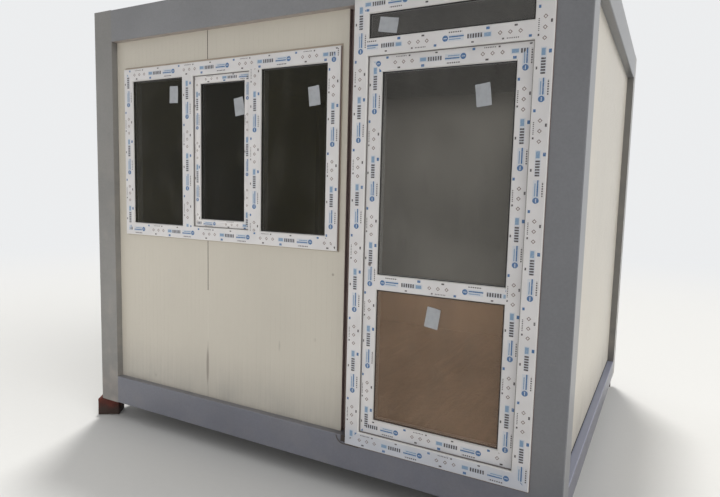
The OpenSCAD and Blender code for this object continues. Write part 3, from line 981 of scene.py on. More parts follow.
class Bench:
    """Blender's own modelling operators, worked on one new piece at a time."""

    @staticmethod
    def start(add: Callable[..., object], name: str, **place: object) -> Piece:
        """Adds a primitive with nothing else selected.

        Args:
            add: The primitive's operator.
            name: The piece's name.
            place: The operator's own sizes and place.

        Returns:
            The new piece.
        """
        bpy.ops.object.select_all(action="DESELECT")
        add(**place)
        piece = bpy.context.object
        piece.name = piece.data.name = name
        return piece

    @staticmethod
    def settle(piece: Piece) -> Piece:
        """Puts the piece's place, turn and scale into its mesh.

        Args:
            piece: The piece.

        Returns:
            The piece.
        """
        Bench.hold(piece)
        bpy.ops.object.transform_apply(location=True, rotation=True, scale=True)
        return piece

    @staticmethod
    def hold(piece: Piece) -> None:
        """Makes the piece the only one selected, and the active one.

        Args:
            piece: The piece.
        """
        bpy.ops.object.select_all(action="DESELECT")
        piece.select_set(True)
        bpy.context.view_layer.objects.active = piece

    @staticmethod
    @contextmanager
    def editing(piece: Piece) -> Iterator[bmesh.types.BMesh]:
        """Opens edit mode on the piece, with all of it selected.

        Args:
            piece: The piece.

        Yields:
            The mesh that is being edited.
        """
        Bench.hold(piece)
        bpy.ops.object.mode_set(mode="EDIT")
        bpy.ops.mesh.select_mode(type="FACE")
        bpy.ops.mesh.select_all(action="SELECT")
        yield bmesh.from_edit_mesh(piece.data)
        bpy.ops.object.mode_set(mode="OBJECT")

    @staticmethod
    def pick(piece: Piece, rule: Callable[[bmesh.types.BMFace], bool]) -> None:
        """Selects the faces that a rule takes.

        Args:
            piece: A piece in edit mode.
            rule: Says whether a face is taken.
        """
        mesh = bmesh.from_edit_mesh(piece.data)
        bpy.ops.mesh.select_all(action="DESELECT")
        for face in mesh.faces:
            if rule(face):
                face.select_set(True)
        bmesh.update_edit_mesh(piece.data)

    @staticmethod
    def modify(piece: Piece, kind: str, **settings: object) -> None:
        """Adds a modifier and applies it.

        Args:
            piece: The piece.
            kind: The modifier's type.
            settings: Its properties.
        """
        Bench.hold(piece)
        modifier = piece.modifiers.new(kind.lower(), kind)
        for key, value in settings.items():
            setattr(modifier, key, value)
        bpy.ops.object.modifier_apply(modifier=modifier.name)

    @staticmethod
    def cut(piece: Piece, cutter: Piece) -> None:
        """Cuts a piece with another one, and removes that one."""
        Bench.modify(piece, "BOOLEAN", object=cutter, operation="DIFFERENCE")
        bpy.data.objects.remove(cutter)

    @staticmethod
    def repeat(piece: Piece, count: int, step: Triple) -> None:
        """Repeats a piece in a row, each copy a step from the last.

        Args:
            piece: The piece.
            count: How many there are in the end.
            step: The way from each one to the next.
        """
        Bench.modify(
            piece, "ARRAY", count=count, use_relative_offset=False,
            use_constant_offset=True, constant_offset_displace=step,
        )

    @staticmethod
    def round_off(piece: Piece, width: float, segments: int = 2) -> None:
        """Rounds a piece's sharp edges and shades it smooth."""
        Bench.modify(piece, "BEVEL", width=width, segments=segments, limit_method="ANGLE")
        Bench.soften(piece)

    @staticmethod
    def soften(piece: Piece, angle: float = 35.0) -> None:
        """Shades the faces smooth where they meet at less than an angle in degrees."""
        Bench.hold(piece)
        bpy.ops.object.shade_smooth_by_angle(angle=math.radians(angle))

    @staticmethod
    def face_out(piece: Piece) -> None:
        """Merges doubles and turns all faces outwards.

        Args:
            piece: The piece.
        """
        with Bench.editing(piece):
            bpy.ops.mesh.remove_doubles(threshold=1e-6)
            bpy.ops.mesh.normals_make_consistent(inside=False)

    @staticmethod
    def join(name: str, pieces: list[Piece]) -> Piece:
        """Joins pieces into one.

        Args:
            name: The joined piece's name.
            pieces: What is joined.

        Returns:
            The joined piece.
        """
        Bench.hold(pieces[0])
        for piece in pieces[1:]:
            piece.select_set(True)
        if len(pieces) > 1:
            bpy.ops.object.join()
        joined = bpy.context.object
        joined.name = joined.data.name = name
        return joined

    @staticmethod
    def twin(piece: Piece, signs: Triple) -> Piece:
        """Copies a piece with its own mesh and mirrors it through the origin's planes.

        Args:
            piece: The piece to copy.
            signs: -1 for each axis that is turned round, else 1.

        Returns:
            The copy.
        """
        Bench.hold(piece)
        bpy.ops.object.duplicate(linked=False)
        copy = bpy.context.object
        bpy.ops.transform.resize(value=signs, center_override=(0.0, 0.0, 0.0))
        Bench.settle(copy)
        Bench.face_out(copy)
        return copy

    @staticmethod
    def turned(piece: Piece, degrees: float) -> Piece:
        """Turns a piece about the booth's upright middle line and settles it."""
        piece.rotation_euler = (0.0, 0.0, math.radians(degrees))
        return Bench.settle(piece)

    @staticmethod
    def box(name: str, centre: Triple, size: Triple, degrees: float = 0.0) -> Piece:
        """Starts a piece as a box.

        Args:
            name: The piece's name.
            centre: Its middle.
            size: Its size along X, Y and Z.
            degrees: Its turn about its own upright middle line.

        Returns:
            The piece.
        """
        return Bench.settle(Bench.start(
            bpy.ops.mesh.primitive_cube_add, name, size=1.0, location=centre,
            rotation=(0.0, 0.0, math.radians(degrees)), scale=size,
        ))

    @staticmethod
    def disc(name: str, centre: Triple, radius: float, depth: float, sides: int) -> Piece:
        """Starts a piece as a round bar that runs from front to back.

        Args:
            name: The piece's name.
            centre: Its middle.
            radius: Its radius.
            depth: Its length.
            sides: Number of its flat sides.

        Returns:
            The piece.
        """
        return Bench.settle(Bench.start(
            bpy.ops.mesh.primitive_cylinder_add, name, vertices=sides, radius=radius,
            depth=depth, rotation=(math.pi / 2, 0.0, 0.0), location=centre,
        ))

    @staticmethod
    def plate(name: str, rect: Rect, y: float) -> Piece:
        """Starts a piece as one upright face towards the front.

        Args:
            name: The piece's name.
            rect: Its outline.
            y: Its depth.

        Returns:
            The piece.
        """
        centre = rect.centre(y)
        piece = Bench.start(
            bpy.ops.mesh.primitive_plane_add, name,
            size=1.0, location=centre, rotation=(math.pi / 2, 0.0, 0.0),
        )
        bpy.ops.transform.resize(value=(rect.width, 1.0, rect.height), center_override=centre)
        return Bench.settle(piece)

    @staticmethod
    def ring(name: str, outer: Rect, inner: Rect, y: float) -> Piece:
        """Makes a flat mitred frame.

        Args:
            name: The piece's name.
            outer: Its outer edge.
            inner: Its opening.
            y: Its depth.

        Returns:
            The piece, still one sheet thick.
        """
        piece = Bench.plate(name, outer, y)
        margin = min(
            inner.x0 - outer.x0, outer.x1 - inner.x1, inner.z0 - outer.z0, outer.z1 - inner.z1
        )
        drawn = outer.shrunk(margin)
        old, new = Vector(drawn.centre(y)), Vector(inner.centre(y))
        with Bench.editing(piece):
            bpy.ops.mesh.inset(thickness=margin)
            bpy.ops.transform.resize(
                value=(inner.width / drawn.width, 1.0, inner.height / drawn.height),
                center_override=old,
            )
            bpy.ops.transform.translate(value=new - old)
            bpy.ops.mesh.delete(type="FACE")
        return piece

    @staticmethod
    def thicken(piece: Piece, depth: float, edge: float = 0.0) -> Piece:
        """Gives a sheet its thickness, outwards, and rounds its edges.

        Args:
            piece: The sheet.
            depth: The thickness.
            edge: Radius of the edges as a share of the thickness, or 0 for sharp ones.

        Returns:
            The piece.
        """
        Bench.modify(piece, "SOLIDIFY", thickness=depth, offset=1.0)
        if edge:
            Bench.round_off(piece, depth * edge, 3)
        return piece


def dress(finish: Finish, *nodes: str) -> None:
    """Gives solids their finish.

    Args:
        finish: The finish.
        nodes: The solids' nodes.
    """
    for node in nodes:
        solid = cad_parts[node]
        for slot in solid.material_slots:
            slot.material = finish.material()
        log.info("finished solid %s in %s", node, finish.name)


def fit(piece: Piece, finish: Finish, body: Body = Body.BOOTH) -> Piece:
    """Hangs a new piece on its body and gives it its finish.

    Args:
        piece: The piece, in place.
        finish: Its finish.
        body: The body it rides on.

    Returns:
        The piece.
    """
    piece.data.materials.clear()
    piece.data.materials.append(finish.material())
    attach(piece, body.value)
    log.info("built %s on %s: %d faces", piece.name, body.value, len(piece.data.polygons))
    return piece


class Label(NamedTuple):
    """A blank label on a pane: the pane, the label's middle, its turn and if it lies."""

    pane: str
    x: float
    z: float
    tilt: float
    lies: bool = False


@dataclass
class Joinery:
    """What window and door share: film, gaskets, spacers, seals and labels.

    A label's loose corner lifts in steps, each within a reach of the corner.
    """

    film_t: float = 0.0003
    film_edge: float = 0.0035
    film_clear: float = 0.001
    member_shift: float = 0.137
    sheet_shift: float = 0.093
    gasket_w: float = 0.004
    gasket_t: float = 0.002
    seal_t: float = 0.003
    seal_reach: float = 0.008
    seat: float = 0.0003
    pane_t: float = 0.004
    spacer_back: float = 0.019
    spacer_out: float = 0.008
    spacer_in: float = 0.001
    spacer_edge: float = 0.0016
    label_size: tuple[float, float] = (0.070, 0.101)
    label_t: float = 0.0002
    label_curl: tuple[tuple[float, float], ...] = (
        (0.030, 0.0006), (0.020, 0.0012), (0.011, 0.0020)
    )

    def lay_map(self, piece: Piece, phase: float) -> None:
        """Runs the film's map along each member, from its middle line.

        Args:
            piece: A flat frame or strip, one face for each member.
            phase: Where the print starts.
        """
        mesh = piece.data
        sheet = mesh.uv_layers.new(name=FILM_MAP)
        for face in mesh.polygons:
            corners = [mesh.vertices[v].co for v in face.vertices]
            low, high = (
                Vector(end(c[i] for c in corners) for i in range(3)) for end in (min, max)
            )
            lies = high.x - low.x > high.z - low.z
            run, cross = (0, 2) if lies else (2, 0)
            turned = -1.0 if face.index % 2 else 1.0
            middle = (low[cross] + high[cross]) / 2
            for loop in face.loop_indices:
                point = mesh.vertices[mesh.loops[loop].vertex_index].co
                sheet.data[loop].uv = (
                    turned * point[run] + phase + self.member_shift * face.index,
                    turned * (point[cross] - middle),
                )

    def film(
        self, name: str, outer: Rect, inner: Rect, bars: list[Rect], y: float, phase: float
    ) -> Piece:
        """Makes the film on a frame's faces.

        Args:
            name: The piece's name.
            outer: Outer edge of the film.
            inner: Inner edge of the film on the four outer members.
            bars: The film on the members between.
            y: Depth of the profiles' faces.
            phase: Where the print starts.

        Returns:
            The piece.
        """
        sheets = [Bench.ring(name, outer, inner, y)]
        sheets += [Bench.plate(f"{name}_{i}", bar, y) for i, bar in enumerate(bars)]
        for i, sheet in enumerate(sheets):
            self.lay_map(sheet, phase + self.sheet_shift * i)
        return Bench.thicken(Bench.join(name, sheets), self.film_t)

    def gaskets(self, name: str, panes: dict[str, Rect], body: Body = Body.BOOTH) -> None:
        """Puts the thin rubber line round some panes.

        Args:
            name: The piece's name.
            panes: Each pane's node and its light.
            body: The body that the panes ride on.
        """
        rings = []
        for node, light in panes.items():
            ring = Bench.ring("gasket", light, light.shrunk(self.gasket_w), face_y(node))
            rings.append(Bench.thicken(ring, self.gasket_t, GASKET_EDGE))
        fit(Bench.join(name, rings), GASKET_RUBBER, body)

    def spacers(self, name: str, panes: dict[str, Rect], body: Body = Body.BOOTH) -> None:
        """Puts a dark spacer frame, with a bright edge, between the two sheets of each pane.

        Args:
            name: The name that the pieces' names start with.
            panes: Each pane's node and its light.
            body: The body that the panes ride on.
        """
        frames, edges = [], []
        for node, light in panes.items():
            back, inner = face_y(node) + self.spacer_back, light.shrunk(self.spacer_in)
            spacer = Bench.ring("spacer", light.shrunk(-self.spacer_out), inner, back)
            frames.append(Bench.thicken(spacer, self.spacer_back - self.pane_t))
            edge = Bench.ring("edge", inner, inner.shrunk(self.spacer_edge), back)
            edges.append(Bench.thicken(edge, self.spacer_edge, SLIGHT_EDGE))
        fit(Bench.join(f"{name}_frames", frames), SPACER_BLACK, body)
        fit(Bench.join(f"{name}_edges", edges), BRIGHT_ZINC, body)

    def stop_seal(self, name: str, opening: Rect, y: float) -> Piece:
        """Makes the rubber seal that closes the stop on a leaf or sash.

        Args:
            name: The piece's name.
            opening: The opening inside the stop.
            y: Depth of the face that it closes on.

        Returns:
            The piece.
        """
        outer = opening.shrunk(self.seat)
        ring = Bench.ring(name, outer, outer.shrunk(self.seal_t), y - self.seat)
        return Bench.thicken(ring, self.seal_reach, SLIGHT_EDGE * self.seal_t / self.seal_reach)

    def label(self, at: Label) -> Piece:
        """Makes a blank paper label on a pane, with one corner a little loose.

        Args:
            at: The label's pane, place and turn.

        Returns:
            The piece.
        """
        wide, high = self.label_size[::-1] if at.lies else self.label_size
        centre = (at.x, face_y(at.pane), at.z)
        piece = Bench.start(
            bpy.ops.mesh.primitive_plane_add, "label", size=1.0, location=centre,
            rotation=(math.pi / 2, math.radians(-at.tilt), 0.0),
        )
        bpy.ops.transform.resize(
            value=(wide, high, 1.0), orient_type="LOCAL", center_override=centre
        )
        Bench.settle(piece)
        with Bench.editing(piece):
            bpy.ops.mesh.subdivide(number_cuts=7)
        corner = max((v.co.copy() for v in piece.data.vertices), key=lambda c: c.x + c.z)
        with Bench.editing(piece) as mesh:
            for reach, lift in self.label_curl:
                bpy.ops.mesh.select_mode(type="VERT")
                bpy.ops.mesh.select_all(action="DESELECT")
                for vertex in mesh.verts:
                    flat = Vector((vertex.co.x - corner.x, 0.0, vertex.co.z - corner.z))
                    vertex.select_set(flat.length < reach)
                bmesh.update_edit_mesh(piece.data)
                bpy.ops.transform.translate(value=(0.0, -lift, 0.0))
        Bench.thicken(piece, self.label_t)
        Bench.soften(piece, 60.0)
        return piece

    def stick(self, name: str, labels: tuple[Label, ...], body: Body = Body.BOOTH) -> None:
        """Sticks labels on their panes, as one piece on a body."""
        fit(Bench.join(name, [self.label(at) for at in labels]), PAPER, body)


@dataclass
class WindowUnit(Joinery):
    """The three-light window: its finishes, film, gaskets, seals and labels."""

    head_bead: float = 0.013
    side_bead: float = 0.005
    bead_t: float = 0.005
    edge_seal_t: float = 0.0025
    labels: tuple[Label, ...] = (
        Label("left_glass", -0.852, 2.165, -2.0),
        Label("sash_glass", -0.351, 2.073, 8.0),
        Label("right_glass", 0.173, 2.101, 6.0),
    )

    def __post_init__(self) -> None:
        """Measures the window's solids."""
        self.outline = Rect.of("window_frame")
        self.left = Rect.of("left_glass").shrunk(GLASS_REACH)
        self.right = Rect.of("right_glass").shrunk(GLASS_REACH)
        self.middle = Rect.of("window_sash").shrunk(SASH_REACH)
        self.pane = Rect.of("sash_glass").shrunk(GLASS_REACH)

    def build(self) -> None:
        """Makes and dresses all of the window."""
        dress(WHITE_PVC, "window_frame", "window_sash")
        dress(WINDOW_GLASS, "left_glass", "right_glass")
        dress(SASH_GLASS, "sash_glass")
        self.build_film()
        self.build_seals()
        self.stick("window_labels", self.labels)

    def build_film(self) -> None:
        """Covers the frame's and the sash's faces with film."""
        beside = BEAD_SLOPE + self.film_clear
        inner = Rect(
            self.left.x0 - beside, self.right.x1 + beside,
            self.left.z0 - beside, self.left.z1 + beside,
        )
        mullions = [
            Rect(self.left.x1 + beside, self.middle.x0 - beside, inner.z0, inner.z1),
            Rect(self.middle.x1 + beside, self.right.x0 - beside, inner.z0, inner.z1),
        ]
        film = self.film(
            "window_film", self.outline.shrunk(self.film_edge), inner, mullions,
            face_y("window_frame"), phase=0.05,
        )
        fit(film, WIDE_FILM)
        sash_film = self.film(
            "sash_film", self.middle.shrunk(self.seal_t + self.film_clear),
            self.pane.shrunk(-beside), [], face_y("window_sash"), phase=0.21,
        )
        fit(sash_film, NARROW_FILM)

    def build_seals(self) -> None:
        """Adds gaskets, the sash's seal, the sealant on the panel and the seal at the side."""
        panes = {"left_glass": self.left, "sash_glass": self.pane, "right_glass": self.right}
        self.gaskets("window_gaskets", panes)
        self.spacers("window_spacer", panes)
        seal = self.stop_seal("sash_seal", self.middle, face_y("window_sash"))
        fit(seal, STOP_RUBBER)

        wall, outline = face_y("front_panel_left"), self.outline
        sides = outline.shrunk(-self.side_bead)
        outer = Rect(sides.x0, sides.x1, sides.z0, outline.z1 + self.head_bead)
        bead = Bench.ring("window_bead", outer, outline, wall)
        fit(Bench.thicken(bead, self.bead_t, BEAD_EDGE), SEALANT)

        front, back = face_y("window_frame") + PROFILE_EDGE, wall - self.bead_t
        middle = outline.centre((front + back) / 2)
        side = Bench.box(
            "window_side_seal",
            (outline.x1 + self.edge_seal_t / 2, *middle[1:]),
            (self.edge_seal_t, back - front, outline.height - 2 * PROFILE_EDGE),
        )
        Bench.round_off(side, self.edge_seal_t * GASKET_EDGE, 3)
        fit(side, DARK_TRIM)


@dataclass
class DoorUnit(Joinery):
    """The door: frame, top light, leaf, hinges and knob with their film, seals and labels."""

    foot_bead: float = 0.006
    side_bead: float = 0.003
    bead_t: float = 0.004
    lock_hole_r: float = 0.006
    lock_cut: float = 0.02
    lock_below_knob: float = 0.068
    grommet_r: float = 0.0085
    grommet_t: float = 0.0012
    barrel_r: float = 0.0057
    barrel_in: float = 0.009
    barrel_depth: float = 0.009
    barrel_edge: float = 0.0003
    slot_h: float = 0.00627
    slot_shape: float = 0.35
    slot_depth: float = 0.0054
    cap_t: float = 0.002
    cap_edge: float = 0.24
    seal_bend: float = 0.044
    seal_r: float = 0.0020
    seal_tail: float = 0.095
    seal_start: float = -0.002
    flap_w: float = 0.031
    flap_h: float = 0.034
    flap_t: float = 0.002
    transom_label: Label = Label("transom_glass", 0.614, 2.405, -10.0, lies=True)
    leaf_labels: tuple[Label, ...] = (
        Label("upper_door_glass", 1.090, 2.052, 6.5),
        Label("lower_door_glass", 0.888, 1.004, -8.5),
    )

    def __post_init__(self) -> None:
        """Measures the door's solids."""
        self.outline = Rect.of("door_frame")
        self.way = Rect.of("door_leaf").shrunk(LEAF_REACH)
        self.top = Rect.of("transom_glass").shrunk(GLASS_REACH)
        self.upper = Rect.of("upper_door_glass").shrunk(GLASS_REACH)
        self.lower = Rect.of("lower_door_glass").shrunk(GLASS_REACH)

    def build(self) -> None:
        """Makes and dresses all of the door."""
        dress(WHITE_PVC, "door_frame", "door_leaf", "inside_knob", "leaf_hinges", "frame_hinges")
        dress(TRANSOM_GLASS, "transom_glass")
        dress(UPPER_GLASS, "upper_door_glass")
        dress(LOWER_GLASS, "lower_door_glass")
        dress(DARK_TRIM, "door_channel")
        self.build_film()
        self.build_seals()
        self.build_channel()
        self.stick("transom_label", (self.transom_label,))
        self.stick("leaf_labels", self.leaf_labels, Body.DOOR)
        self.build_lock()

    def lock_place(self) -> Triple:
        """Gives the middle of the lock hole on the leaf's face."""
        knob = Rect.of("inside_knob").centre(face_y("door_leaf"))
        return (knob[0], knob[1], knob[2] - self.lock_below_knob)

    def build_film(self) -> None:
        """Covers the frame's and the leaf's faces with film."""
        edge = PROFILE_EDGE + self.film_clear
        beside = BEAD_SLOPE + self.film_clear
        way = self.way.shrunk(-edge)
        inner = Rect(way.x0, way.x1, way.z0, self.top.z1 + beside)
        bar = Rect(way.x0, way.x1, way.z1, self.top.z0 - beside)
        film = self.film(
            "door_frame_film", self.outline.shrunk(self.film_edge), inner, [bar],
            face_y("door_frame"), phase=0.31,
        )
        fit(film, WIDE_FILM)
        lights = Rect(
            self.upper.x0 - beside, self.upper.x1 + beside,
            self.lower.z0 - beside, self.upper.z1 + beside,
        )
        rail = Rect(lights.x0, lights.x1, self.lower.z1 + beside, self.upper.z0 - beside)
        leaf_film = self.film(
            "leaf_film", self.way.shrunk(self.seal_t + self.film_clear), lights, [rail],
            face_y("door_leaf"), phase=0.17,
        )
        cutter = Bench.disc(
            "lock_cutter", self.lock_place(), self.lock_hole_r, self.lock_cut, sides=24
        )
        Bench.cut(leaf_film, cutter)
        fit(leaf_film, WIDE_FILM, Body.DOOR)

    def build_seals(self) -> None:
        """Adds the gaskets, the stop's seal and the dark beads beside and under the frame, which
        are partly sealant and partly painted shadow of the frame.
        """
        top = {"transom_glass": self.top}
        panes = {"upper_door_glass": self.upper, "lower_door_glass": self.lower}
        self.gaskets("transom_gasket", top)
        self.gaskets("leaf_gaskets", panes, Body.DOOR)
        self.spacers("transom_spacer", top)
        self.spacers("leaf_spacer", panes, Body.DOOR)
        seal = self.stop_seal("door_seal", self.way, face_y("door_leaf"))
        fit(seal, STOP_RUBBER)

        # The dark beads beside and under the frame are partly sealant and partly painted shadow of
        # the frame's lip.
        steel, outline = face_y("front_right_post"), self.outline
        foot_z = outline.z0 - self.foot_bead
        strips = (
            Rect(outline.x1, outline.x1 + self.side_bead, foot_z, outline.z1),
            Rect(outline.x0, outline.x1, foot_z, outline.z0),
        )
        beads_and_shadow = [
            Bench.thicken(Bench.plate("bead", strip, steel), self.bead_t, BEAD_EDGE)
            for strip in strips
        ]
        fit(Bench.join("door_bead_and_shadow", beads_and_shadow), DARK_TRIM)

    def build_channel(self) -> None:
        """Caps the last panel's edge and adds flap and loose seal at the channel's foot."""
        channel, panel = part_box("door_channel"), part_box("front_panel_right")
        cap = Bench.box(
            "channel_cap",
            (
                panel[1].x + self.cap_t / 2, (panel[0].y + channel[0].y) / 2,
                (channel[0].z + channel[1].z) / 2,
            ),
            (self.cap_t, channel[0].y - panel[0].y, channel[1].z - channel[0].z),
        )
        Bench.round_off(cap, self.cap_t * self.cap_edge)
        fit(cap, DARK_TRIM)

        beam, gap = face_y("front_floor_beam"), self.outline.x0 - self.seat
        foot = Rect(gap - self.flap_w, gap, channel[0].z - self.flap_h, channel[0].z + self.seal_r)
        flap = Bench.plate("channel_flap", foot, beam - self.seat)
        fit(Bench.thicken(flap, self.flap_t, SLIGHT_EDGE), FLAP_RUBBER)

        steel = beam - self.flap_t - self.seal_r - 2 * self.seat
        left = panel[1].x + self.seal_start
        top = self.outline.z0 - self.foot_bead - self.seal_r + self.seal_bend
        seal = Bench.start(
            bpy.ops.mesh.primitive_circle_add, "channel_seal", vertices=10,
            radius=self.seal_r, fill_type="NGON", location=(left, steel, top),
        )
        with Bench.editing(seal):
            bpy.ops.mesh.spin(
                steps=8, angle=math.pi / 2, center=(left + self.seal_bend, steel, top),
                axis=(0.0, 1.0, 0.0),
            )
            bpy.ops.mesh.extrude_region_move(
                TRANSFORM_OT_translate={"value": (self.seal_tail, 0.0, 0.0)}
            )
        Bench.settle(seal)
        Bench.face_out(seal)
        Bench.soften(seal, 50.0)
        fit(seal, LIP_SEAL)

    def build_lock(self) -> None:
        """Adds the rim of the lock hole and the barrel inside it."""
        x, y, z = self.lock_place()
        rim = Bench.disc(
            "lock_rim", (x, y - self.film_t - self.grommet_t / 2, z),
            self.grommet_r, self.grommet_t, sides=32,
        )
        with Bench.editing(rim):
            Bench.pick(rim, lambda face: abs(face.normal.y) > FACING)
            bpy.ops.mesh.inset(thickness=self.grommet_r - self.lock_hole_r)
            bpy.ops.mesh.bridge_edge_loops()
        Bench.round_off(rim, self.grommet_t * SLIGHT_EDGE)
        fit(rim, DARK_TRIM, Body.DOOR)

        barrel = Bench.disc(
            "lock_barrel", (x, y + self.barrel_in + self.barrel_depth / 2, z),
            self.barrel_r, self.barrel_depth, sides=24,
        )
        with Bench.editing(barrel):
            Bench.pick(barrel, lambda face: face.normal.y < -FACING)
            bpy.ops.mesh.inset(thickness=self.barrel_r - self.slot_h / 2)
            bpy.ops.transform.resize(
                value=(self.slot_shape, 1.0, 1.0), center_override=(x, y + self.barrel_in, z)
            )
            bpy.ops.mesh.extrude_region_move(
                TRANSFORM_OT_translate={"value": (0.0, self.slot_depth, 0.0)}
            )
        Bench.round_off(barrel, self.barrel_edge)
        fit(barrel, ZINC_SHEET, Body.DOOR)


class Side(Enum):
    """The booth's sides, each with the turn that brings the front wall there."""

    FRONT = 0.0
    RIGHT = 90.0
    BACK = 180.0
    LEFT = -90.0

    def local(self, point: Vector) -> Vector:
        """Turns a point of this side to the front."""
        return Matrix.Rotation(math.radians(-self.value), 3, "Z") @ point


@dataclass(frozen=True)
class WallRun:
    """A wall of panels: its nodes, those that start at a joint, its finish and its seams."""

    side: Side
    panels: tuple[str, ...]
    jointed: tuple[str, ...]
    skin: CoatedSkin = PANEL_SKIN
    seam_w: float = 0.0034
    seam_depth: float = 0.0023

    def area(self) -> tuple[Rect, float]:
        """Measures the wall, turned to the front.

        Returns:
            The wall's outline, and the depth of its face.
        """
        corners = [self.side.local(c) for node in self.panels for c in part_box(node)]
        xs, ys, zs = zip(*corners)
        return Rect(min(xs), max(xs), min(zs), max(zs)), min(ys)

    def joints(self) -> list[float]:
        """Gives the places of the joints along the wall, turned to the front."""
        return [self.side.local(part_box(node)[0]).x for node in self.jointed]


@dataclass
class Walls:
    """The sandwich panels: their ribs, the tape under closed walls and the fill in joints.

    In the front wall the joint is filled flush up to flush_to, and open above it.
    """

    band_pitch: float = 0.0343
    groove_w: float = 0.0022
    rise: float = 0.00025
    rise_edge: float = 0.5
    seat: float = 0.0003
    foot_h: float = 0.009
    tape_t: float = 0.0025
    seam_t: float = 0.001
    flush_to: float = 0.98
    flush_w: float = 0.0064
    flush_t: float = 0.0014
    window_margin: float = 0.012
    cut_depth: float = 0.012
    runs: tuple[WallRun, ...] = (
        WallRun(
            Side.FRONT, ("front_panel_left", "front_panel_right"), ("front_panel_right",),
            FRONT_SKIN, seam_w=0.0054, seam_depth=0.0008,
        ),
        WallRun(
            Side.RIGHT, ("right_panel_front", "right_panel_middle", "right_panel_back"),
            ("right_panel_middle", "right_panel_back"),
        ),
        WallRun(
            Side.BACK, ("back_panel_left", "back_panel_middle", "back_panel_right"),
            ("back_panel_middle", "back_panel_right"),
        ),
        WallRun(
            Side.LEFT, ("left_panel_front", "left_panel_middle", "left_panel_back"),
            ("left_panel_middle", "left_panel_back"),
        ),
    )

    def build(self) -> None:
        """Dresses the panels, tapes their feet and fills their joints."""
        tapes, seams = [], []
        for run in self.runs:
            dress(run.skin, *run.panels)
            fit(self.ribs(run), run.skin)
            area, face = run.area()
            if run.side is not Side.FRONT:
                foot = Rect(area.x0, area.x1, area.z0, area.z0 + self.foot_h)
                tapes.append(self.strip("wall_tape", foot, face, self.tape_t, run.side))
            for x in run.joints():
                if run.side is Side.FRONT:
                    filled = Rect.about(x, self.flush_w, area.z0, self.flush_to)
                    back = face + self.seam_t
                    filler = self.strip("joint_filler", filled, back, self.flush_t, run.side)
                    fit(filler, JOINT_FILLER)
                for heights in self.open_heights(run.side, area):
                    seam = Rect.about(x, run.seam_w, *heights)
                    depth = face + run.seam_depth
                    seams.append(self.strip("panel_seams", seam, depth, self.seam_t, run.side))
        fit(Bench.join("wall_tape", tapes), FOAM_TAPE)
        fit(Bench.join("panel_seams", seams), SEAM_FILL)

    def ribs(self, run: WallRun) -> Piece:
        """Makes the raised bands of a wall's skins, with shallow grooves between them.

        Args:
            run: The wall.

        Returns:
            The piece.
        """
        bands = []
        area, face = run.area()
        edges = sorted([area.x0, *run.joints(), area.x1])
        for left, right in zip(edges, edges[1:]):
            count = round((right - left) / self.band_pitch)
            pitch = (right - left - run.seam_w + self.groove_w) / count
            start = left + run.seam_w / 2
            rect = Rect(start, start + pitch - self.groove_w, area.z0, area.z1)
            band = Bench.plate("band", rect, face + self.seat)
            Bench.thicken(band, self.rise + self.seat)
            edge = self.rise * self.rise_edge
            Bench.modify(band, "BEVEL", width=edge, segments=2, limit_method="ANGLE")
            Bench.repeat(band, count, (pitch, 0.0, 0.0))
            bands.append(band)
        ribs = Bench.join(f"panel_ribs_{run.side.name.lower()}", bands)
        if run.side is Side.FRONT:
            window = Rect.of("window_frame")
            size = (window.width, self.cut_depth, window.height)
            Bench.cut(ribs, Bench.box("window_cutter", window.centre(face), size))
        return Bench.turned(ribs, run.side.value)

    def strip(self, name: str, rect: Rect, y: float, depth: float, side: Side) -> Piece:
        """Makes a flat strip on a wall.

        Args:
            name: The piece's name.
            rect: Its outline, with the wall turned to the front.
            y: Depth of its back.
            depth: Its thickness.
            side: The side of the booth that it goes to.

        Returns:
            The piece.
        """
        strip = Bench.thicken(Bench.plate(name, rect, y), depth, TAPE_EDGE)
        return Bench.turned(strip, side.value)

    def open_heights(self, side: Side, area: Rect) -> list[tuple[float, float]]:
        """Gives the heights between which a joint shows: the front one stops at the window.

        Args:
            side: The wall's side.
            area: The wall's outline.

        Returns:
            Pairs of a lower and an upper height.
        """
        if side is not Side.FRONT:
            return [(area.z0 + self.foot_h, area.z1)]
        window = Rect.of("window_frame").shrunk(self.window_margin)
        return [(area.z0, window.z0), (window.z1, area.z1)]


